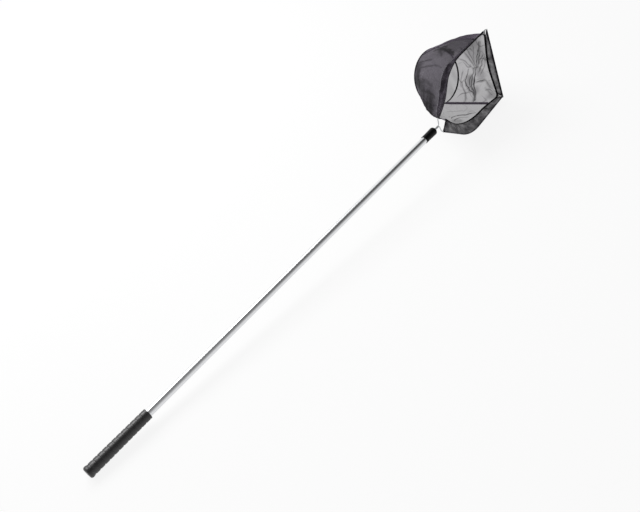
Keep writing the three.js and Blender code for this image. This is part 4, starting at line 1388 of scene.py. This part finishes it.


# Creases in the walls. Each is a line of points, given as shares along the mouth's edge and down
# to the binding, with its width in millimetres and how dark it is, from 0 to 1.
# Their darkness also paints the mesh's colour darker, a painted shade of the creases, beside the extra
# layers that stop more light
WALL_CREASES = {
    "front": [
        ([(0.56, 0.44), (0.63, 0.51), (0.69, 0.55), (0.76, 0.56), (0.82, 0.53), (0.96, 0.4)], 1.9, 1.0),
        ([(0.57, 0.5), (0.66, 0.6), (0.76, 0.62), (0.86, 0.52), (0.95, 0.43)], 1.5, 0.9),
        ([(0.58, 0.66), (0.7, 0.8), (0.78, 0.69), (0.84, 0.56), (0.93, 0.41)], 1.5, 0.95),
        ([(0.62, 0.58), (0.71, 0.7), (0.8, 0.6)], 1.5, 0.8),
        ([(0.56, 0.44), (0.45, 0.32), (0.355, 0.22), (0.265, 0.155)], 1.4, 0.9),
        ([(0.57, 0.42), (0.45, 0.27), (0.345, 0.17), (0.265, 0.13)], 1.3, 0.8),
        ([(0.56, 0.44), (0.495, 0.465), (0.435, 0.49), (0.36, 0.52)], 1.3, 0.8),
        ([(0.57, 0.47), (0.475, 0.555), (0.395, 0.635)], 1.3, 0.75),
        ([(0.58, 0.52), (0.515, 0.68), (0.475, 0.785), (0.46, 0.91)], 1.3, 0.7),
        ([(0.605, 0.38), (0.52, 0.24), (0.43, 0.11)], 1.3, 0.75),
        ([(0.54, 0.36), (0.46, 0.23), (0.395, 0.12)], 1.3, 0.65),
        ([(0.63, 0.34), (0.57, 0.23), (0.51, 0.13)], 1.3, 0.6),
        ([(0.71, 0.52), (0.7, 0.37), (0.69, 0.215), (0.76, 0.15)], 1.4, 0.85),
        ([(0.8, 0.27), (0.79, 0.165), (0.81, 0.09)], 1.3, 0.8),
        ([(0.765, 0.29), (0.82, 0.18), (0.85, 0.12)], 1.3, 0.65),
        ([(0.71, 0.9), (0.825, 0.77), (0.965, 0.59)], 1.4, 0.7),
        ([(0.6, 0.84), (0.68, 0.93), (0.76, 0.88)], 1.3, 0.5),
        ([(0.3, 0.32), (0.37, 0.36), (0.44, 0.41), (0.5, 0.43)], 1.3, 0.5),
    ],
    "upper": [
        ([(0.87, 0.66), (0.82, 0.44), (0.76, 0.24), (0.7, 0.06)], 6.0, 1.0),
        ([(0.93, 0.7), (0.89, 0.5), (0.84, 0.38), (0.78, 0.3)], 4.5, 0.7),
        ([(0.8, 0.5), (0.73, 0.36), (0.66, 0.28)], 3.5, 0.55),
        ([(0.56, 0.93), (0.53, 0.65), (0.52, 0.4), (0.5, 0.08)], 3.5, 0.5),
        ([(0.3, 0.75), (0.34, 0.5), (0.31, 0.2)], 6.0, 0.45),
        ([(0.2, 0.65), (0.24, 0.4), (0.22, 0.12)], 4.0, 0.7),
        ([(0.08, 0.55), (0.12, 0.34), (0.1, 0.1)], 4.0, 1.0),
        ([(0.06, 0.4), (0.07, 0.25), (0.05, 0.1)], 3.5, 1.0),
        ([(0.72, 0.92), (0.66, 0.7), (0.64, 0.5)], 4.0, 0.6),
    ],
    "lower": [
        ([(0.48, 0.31), (0.56, 0.36), (0.65, 0.35), (0.73, 0.2), (0.79, 0.075)], 2.4, 0.8),
        ([(0.44, 0.2), (0.52, 0.25), (0.6, 0.24), (0.68, 0.12)], 2.0, 0.6),
        ([(0.6, 0.62), (0.7, 0.55), (0.8, 0.4)], 1.8, 0.35),
    ],
}

# Darker patches of a wall, partly where it lies in more layers and partly painted shade: the same
# shares, a radius in millimetres and a darkness
WALL_GATHERS_AND_SHADE = {
    "front": [
        ((0.69, 0.66), 16, 0.5),
        ((0.62, 0.34), 22, 0.36),
        ((0.86, 0.12), 16, 0.4),
        ((0.74, 0.14), 14, 0.25),
        ((0.8, 0.52), 14, 0.35),
        ((0.38, 0.34), 44, 0.42),
        ((0.27, 0.3), 26, 0.5),
        ((0.06, 0.35), 44, 0.78),
    ],
    "upper": [
        ((0.1, 0.3), 46, 0.88),
        ((0.2, 0.6), 34, 0.75),
        ((0.62, 0.97), 28, 0.75),
        ((0.9, 0.3), 50, 0.55),
        ((0.3, 0.97), 30, 0.85),
        ((0.28, 0.8), 28, 0.95),
        ((0.38, 0.84), 20, 0.9),
        ((0.48, 0.84), 20, 0.85),
        ((0.6, 0.84), 16, 0.7),
        ((0.8, 0.42), 8, 0.7),
        ((0.04, 0.34), 20, 1.0),
    ],
    "lower": [((0.45, 0.15), 20, 0.4), ((0.3, 0.4), 30, 0.15)],
}
CREASE_HEIGHT = 1.4 * MM
# How far a crease wanders from its line, and how often
WANDER = 3.5 * MM
WANDER_SCALE = 75
# The cloth's crumples, broad and fine: how close together they are
BROAD_SCALE = 30
FINE_SCALE = 90
# How high the fine ones are beside the broad, and how much each darkens the cloth
FINE_HEIGHT = 0.35
BROAD_SHADE = 0.08
FINE_SHADE = 0.06
# Over what share of a wall, across and down, its crumples fade out towards its sewn edges
HELD_ACROSS = 0.05
HELD_DOWN = 0.06
# How far across a gather fades, in its radii: full to this less one, and gone at this
GATHER_FADE = 1.4
# Fine veins between the creases: how close together, how thin and how dark
VEIN_SCALE = 36
VEIN_THIN = 0.07
VEIN_DARK = {"front": 0.6, "upper": 0.35, "lower": 0.3}
# Each crease of the front wall has finer ones beside it: shares along and down, and how dark
CREASE_TWINS = {"front": [(0.012, 0.03, 0.45), (-0.016, -0.018, 0.35)]}


def near_line(point, line, size):
    """Distance from a place on a wall to a line on it, in metres, and how far along it is."""
    best = (math.inf, 0.0)
    for k, (start, end) in enumerate(zip(line, line[1:])):
        ax, ay = start[0] * size[0], start[1] * size[1]
        bx, by = (end[0] - start[0]) * size[0], (end[1] - start[1]) * size[1]
        px, py = point[0] * size[0] - ax, point[1] * size[1] - ay
        reach = clamped((px * bx + py * by) / (bx * bx + by * by))
        away = math.hypot(px - bx * reach, py - by * reach)
        if away < best[0]:
            best = (away, (k + reach) / (len(line) - 1))
    return best


def rounded_line(line, steps=4):
    """A smooth line through a crease's points."""
    ends = [line[0], *line, line[-1]]
    out = []
    for a, b, c, d in zip(ends, ends[1:], ends[2:], ends[3:]):
        for i in range(steps):
            t = i / steps
            point = []
            for p, q, r, s in zip(a, b, c, d):
                bend = (2 * p - 5 * q + 4 * r - s) * t * t + (3 * q - p - 3 * r + s) * t * t * t
                point.append(0.5 * (2 * q + (r - p) * t + bend))
            out.append(tuple(point))
    return out + [line[-1]]


def crease_marks(name, size):
    """A wall's creases and their twins: smooth lines, each with the box of shares that it reaches."""
    creases = list(WALL_CREASES[name])
    for line, width, dark in WALL_CREASES[name]:
        for across, down, share_kept in CREASE_TWINS.get(name, []):
            beside = [(u + across, v + down * (1 - v)) for u, v in line]
            creases.append((beside, width * 0.8, dark * share_kept))
    marks = []
    for line, width, dark in creases:
        smooth = rounded_line(line)
        us, vs = zip(*smooth)
        across, down = 3 * width * MM / size[0], 3 * width * MM / size[1]
        box = (min(us) - across, max(us) + across, min(vs) - down, max(vs) + down)
        marks.append((smooth, width * MM, dark, box))
    return marks


def folded(u, v, marks, gathers, size):
    """How creased (0 to 1) and how gathered (0 to 1) a wall is at a place; both also set its painted
    shade.
    """
    creased, gathered = 0.0, 0.0
    for line, width, dark, (u0, u1, v0, v1) in marks:
        if not (u0 < u < u1 and v0 < v < v1):
            continue
        away, along = near_line((u, v), line, size)
        thin = 0.5 + 0.5 * math.sin(math.pi * clamped(along, 0.02, 0.98)) ** 0.5
        creased = max(creased, dark * thin**0.5 * math.exp(-((away / (width * thin)) ** 4)))
    for (gu, gv), radius, dark in gathers:
        away = math.hypot((u - gu) * size[0], (v - gv) * size[1]) / (radius * MM)
        gathered = max(gathered, dark * smooth_step(GATHER_FADE - away))
    return creased, gathered


def wall_normal(at, u, v, step=0.01):
    over = at(min(u + step, 1), v) - at(max(u - step, 0), v)
    along = at(u, min(v + step, 1)) - at(u, max(v - step, 0))
    return over.cross(along).normalized()


def held_still(u, v):
    """0 at a wall's edges, where it is sewn, and 1 a little inside them."""
    across = smooth_step(u / HELD_ACROSS) * smooth_step((1 - u) / HELD_ACROSS)
    return across * (smooth_step(v / HELD_DOWN) * smooth_step((1 - v) / HELD_DOWN))


def wrinkled(at, name, columns, rows, size):
    """A wall's points and how folded it is at each, which also sets its painted shade."""
    marks = crease_marks(name, size)
    crumple = settings().bag.crumple
    grid, folds_and_shade = [], []
    for i in range(rows + 1):
        v = i / rows
        line = []
        for j in range(columns + 1):
            u = j / columns
            point = at(u, v)
            broad = noise.noise(point * BROAD_SCALE)
            fine = noise.noise(point * FINE_SCALE + Vector((4, 9, 2)))
            bend = noise.noise(point * WANDER_SCALE) * WANDER / size[0]
            sway = noise.noise(point * WANDER_SCALE + Vector((7, 1, 3))) * WANDER / size[1]
            creased, gathered = folded(u + bend, v + sway, marks, WALL_GATHERS_AND_SHADE[name], size)
            lift = crumple * (broad + fine * FINE_HEIGHT) + CREASE_HEIGHT * creased
            line.append(point + wall_normal(at, u, v) * (lift * held_still(u, v)))
            vein = smooth_step(1 - abs(noise.noise(point * VEIN_SCALE)) / VEIN_THIN)
            vein *= VEIN_DARK[name] * smooth_step(0.5 + 2 * broad)
            shade = gathered + (creased + vein * (1 - creased)) * (1 - gathered)
            folds_and_shade.append(clamped(shade + (BROAD_SHADE * broad + FINE_SHADE * fine)))
        grid.append(line)
    return grid, folds_and_shade


# The bottom's crumples: how close together the broad and the fine ones are, and how high
BOTTOM_CRUMPLES = ((45, 2.2 * MM), (120, 0.8 * MM))
# The share of its radius over which they fade out towards the binding, and its faint ribs: how
# close together they are along each axis, how dark, and the shade between them
BOTTOM_HELD = 0.12
BOTTOM_RIBS = Vector((60, 60, 14))
RIB_SHADE = 0.3
BOTTOM_SHADE = 0.04
BOTTOM_RINGS = 44
BOTTOM_SECTORS = 180


class NET_OT_bag(bpy.types.Operator):
    """Sew the bag: three walls and a round bottom of see-through mesh"""

    bl_idname = "pond_net.bag"
    bl_label = "Bag"

    def execute(self, context):
        lay = Layout()
        for name, node, columns, rows, look in (
            ("front", "front_wall", 300, 150, "knitted_nylon_mesh"),
            ("upper", "upper_wall", 190, 130, "slack_nylon_mesh"),
            ("lower", "lower_wall", 170, 120, "knitted_nylon_mesh"),
        ):
            at = lay.wall(name)
            size = self.wall_size(at)
            grid, folds_and_shade = wrinkled(at, name, columns, rows, size)
            obj = cloth_object(f"bag_{name}", grid, folds_and_shade, lay.place)
            finished(obj, look, "bag_mesh", node)
        bottom = self.bottom(lay)
        finished(bottom, "knitted_nylon_mesh", "bag_mesh", "bag_bottom")
        return {"FINISHED"}

    def wall_size(self, at):
        """The flat cut of a wall: its mean width and depth."""
        steps = 24
        width = sum(
            (at((i + 1) / steps, v) - at(i / steps, v)).length
            for i in range(steps)
            for v in (0.02, 0.25, 0.5, 0.75, 0.98)
        )
        depth = sum(
            (at(u, (i + 1) / steps) - at(u, i / steps)).length
            for i in range(steps)
            for u in (0.1, 0.3, 0.5, 0.7, 0.9)
        )
        return width / 5, depth / 5

    def bottom(self, lay):
        dome = settings().bag.bottom_dome
        rings, sectors = BOTTOM_RINGS, BOTTOM_SECTORS
        points = [lay.place @ lay.on_bottom(0, 0, dome)]
        folds_and_shade = [0.0]
        for k in range(1, rings + 1):
            reach = k / rings
            held = smooth_step((1 - reach) / BOTTOM_HELD)
            for i in range(sectors):
                at = 2 * math.pi * i / sectors
                base = lay.on_bottom(at, reach)
                crumple = sum(noise.noise(base * scale) * high for scale, high in BOTTOM_CRUMPLES)
                lift = dome * (1 - reach * reach) + crumple * held
                points.append(lay.place @ lay.on_bottom(at, reach, lift))
                rib = noise.noise(base * BOTTOM_RIBS)
                folds_and_shade.append(clamped(RIB_SHADE * rib + BOTTOM_SHADE))
        faces = [(0, 1 + i, 1 + (i + 1) % sectors) for i in range(sectors)]
        for k in range(rings - 1):
            a, b = 1 + k * sectors, 1 + (k + 1) * sectors
            faces += [
                (a + i, b + i, b + (i + 1) % sectors, a + (i + 1) % sectors) for i in range(sectors)
            ]
        obj = new_object("bag_base", points, faces)
        mark_folds_and_shade(obj, folds_and_shade)
        return obj


# Seams

# How far a join's two rows of stitches are from its edges
JOIN_ROW_INSET = 0.7 * MM
THREAD_THICK = 0.7 * MM
STITCH_SEED = 3
RIBBON_SIDES = 12
# How square a seam's section is across and through: 1 is round and 0 is square
RIBBON_POWERS = (0.6, 0.8)
BINDING_STEPS = 150
JOIN_STEPS = 60
# A join's thickness and the ridge's width, as shares of the other seams'
JOIN_THICK = 0.6
RIDGE_WIDTH = 0.55
# A join starts and ends this share of its length from the mouth and the binding, and its direction
# across is taken to a place this share into the wall
JOIN_MARGIN = 0.01
JOIN_ACROSS = 0.04
# Stitches along a join, and slanted ones elsewhere: pitch and length as shares, and slant
JOIN_STITCHES = (0.7, 0.55, math.pi / 2)
CROSS_STITCHES = (1, 0.8, 0.5)
# A place inside the bag, which tells a join's outside from its inside
BAG_INSIDE = in_plane(190 * MM, 0, 70 * MM)
SEAM_FINISH = {
    "mouth_upper": "pressed_nylon_ridge",
    "mouth_front": "woven_black_seam_tape",
    "mouth_lower": "woven_black_seam_tape",
    "binding": "woven_black_seam_tape",
    "join_upper": "felled_slack_mesh",
    "join_lower": "felled_nylon_mesh",
    "join_back": "felled_slack_mesh",
}


def ribbon(path, across, facing, width, thick, closed=False):
    """Points and faces of a flat band with rounded edges along a path."""
    section = []
    for i in range(RIBBON_SIDES):
        at = 2 * math.pi * i / RIBBON_SIDES
        u = math.copysign(abs(math.cos(at)) ** RIBBON_POWERS[0], math.cos(at)) * width / 2
        w = math.copysign(abs(math.sin(at)) ** RIBBON_POWERS[1], math.sin(at)) * thick / 2
        section.append((u, w))
    rings = [[p + a * u + f * w for u, w in section] for p, a, f in zip(path, across, facing)]
    return lofted(rings, closed)


class NET_OT_seams(bpy.types.Operator):
    """Bind the bag's bottom, fell its joins and edge its mouth, with stitches on each"""

    bl_idname = "pond_net.seams"
    bl_label = "Seams"

    def execute(self, context):
        lay = Layout()
        thickness = settings().bag.seam_thick
        for name, node, path, across, facing, closed, width in self.lines(lay):
            join = name.startswith("join")
            thick = thickness * (JOIN_THICK if join else 1)
            points, faces = ribbon(path, across, facing, width, thick, closed)
            obj = new_object(f"seam_{name}", [lay.place @ p for p in points], faces)
            slot = "seam_thread" if name.startswith("mouth") else "seam_tape"
            finished(obj, SEAM_FINISH[name], slot, node)
            for row, label in ((-1, "_left"), (1, "_right")) if join else ((0, ""),):
                aside = row * (width / 2 - JOIN_ROW_INSET)
                lifted = [p + f * (thick / 2) + a * aside for p, a, f in zip(path, across, facing)]
                self.stitches(f"stitches_{name}{label}", lay, lifted, across, facing, closed, join)
        return {"FINISHED"}

    def stitches(self, name, lay, path, across, facing, closed, join):
        """A row of stitches: along the seam on a join, and slanted across it elsewhere."""
        bag = settings().bag
        turn = lay.place.to_3x3()
        ways = [[turn @ v for v in vectors] for vectors in (across, facing)]
        obj = path_object(name, [lay.place @ p for p in path], closed, *ways)
        look = "polyester_sewing_thread"
        pitch, size, slant = JOIN_STITCHES if join else CROSS_STITCHES
        values = {
            "Pitch": bag.stitch_pitch * pitch,
            "Stitch Length": bag.stitch_length * size,
            "Thread": THREAD_THICK,
            "Slant": slant,
            "Seed": STITCH_SEED,
            "Finish": finish(look),
        }
        finished(grown(obj, "net_stitches", values), look, "seam_thread")

    def lines(self, lay):
        """Each seam: name, node, path, directions across and out of it, closed or not, and width."""
        yield from self.mouth_lines(lay)
        bag = settings().bag
        steps = BINDING_STEPS
        circle = [2 * math.pi * i / steps for i in range(steps)]
        path = [lay.on_bottom(at, 1) for at in circle]
        out = [(p - lay.bottom_centre).normalized() for p in path]
        across = [lay.bottom_out] * steps
        yield "binding", "bottom_binding", path, across, out, True, bag.binding_width
        for name, node, wall, u in (
            ("join_upper", "upper_side_seam", "upper", 1),
            ("join_lower", "lower_side_seam", "front", 1),
            ("join_back", "back_seam", "upper", 0),
        ):
            path, across, facing = self.join(lay.wall(wall), u)
            if name == "join_lower":
                # This join's folded edge stands up inside the bag
                path = [p - out * (bag.join_width / 8) for p, out in zip(path, facing)]
                across, facing = facing, across
            yield name, node, path, across, facing, False, bag.join_width

    def mouth_lines(self, lay):
        mouth = lay.mouth
        middle = sum(mouth, Vector()) / len(mouth)
        rim = []
        for point, along in zip(mouth, tangents(mouth, True)):
            across = in_plane(0, 0, 1)
            across = (across - along * across.dot(along)).normalized()
            out = across.cross(along)
            if out.dot(point - middle) < 0:
                out.negate()
            rim.append((point, across, out))
        top, low = lay.arc(4)[0], lay.arc(6)[1]
        full = settings().bag.hem_seam_width
        for name, node, first, last, width in (
            ("mouth_upper", "upper_hem_seam", lay.arc(1)[1], top, full * RIDGE_WIDTH),
            ("mouth_front", "front_hem_seam", top, low, full),
            ("mouth_lower", "lower_hem_seam", low, lay.arc(9)[0], full),
        ):
            path, across, facing = zip(*rim[first : last + 1])
            yield name, node, path, across, facing, False, width

    def join(self, at, u):
        """The path of a join down a wall's side, with its directions across and out."""
        steps = JOIN_STEPS
        path = [at(u, JOIN_MARGIN + (1 - 2 * JOIN_MARGIN) * i / steps) for i in range(steps + 1)]
        inside = JOIN_ACROSS if u == 0 else 1 - JOIN_ACROSS
        across, facing = [], []
        for i, (point, along) in enumerate(zip(path, tangents(path))):
            side = at(inside, i / steps) - point
            side = (side - along * side.dot(along)).normalized()
            out = side.cross(along)
            if out.dot(point - BAG_INSIDE) < 0:
                out.negate()
            across.append(side)
            facing.append(out)
        return path, across, facing


# Add-on


class NET_PT_panel(bpy.types.Panel):
    """Lists the net's pieces and their sizes"""

    bl_idname = "NET_PT_panel"
    bl_label = "Pond Net"
    bl_space_type = "VIEW_3D"
    bl_region_type = "UI"
    bl_category = "Pond Net"

    def draw(self, context):
        net = context.scene.pond_net
        for kind in OPERATORS:
            self.layout.operator(kind.bl_idname)
        for title, group in (
            ("Handle", net.handle),
            ("Hoop", net.hoop),
            ("Bag", net.bag),
            ("Finishes", net.finish),
            ("Stage", net.stage),
        ):
            box = self.layout.box()
            box.label(text=title)
            for key in group.__annotations__:
                box.prop(group, key)


OPERATORS = (
    NET_OT_stage,
    NET_OT_grip,
    NET_OT_pole,
    NET_OT_collar,
    NET_OT_hoop,
    NET_OT_hems,
    NET_OT_bag,
    NET_OT_seams,
)
GROUPS = (
    NetHandleSizes,
    NetHoopSizes,
    NetBagSizes,
    NetFinishes,
    NetStageSettings,
    NetSettings,
)


def register():
    for kind in GROUPS + OPERATORS + (NET_PT_panel,):
        bpy.utils.register_class(kind)
    bpy.types.Scene.pond_net = bpy.props.PointerProperty(type=NetSettings)


def unregister():
    del bpy.types.Scene.pond_net
    for kind in reversed(GROUPS + OPERATORS + (NET_PT_panel,)):
        bpy.utils.unregister_class(kind)


def main():
    register()
    bpy.ops.pond_net.stage()
    bpy.ops.pond_net.grip()
    bpy.ops.pond_net.pole()
    bpy.ops.pond_net.collar()
    bpy.ops.pond_net.hoop()
    bpy.ops.pond_net.hems()
    bpy.ops.pond_net.bag()
    bpy.ops.pond_net.seams()


if __name__ == "__main__":
    main()
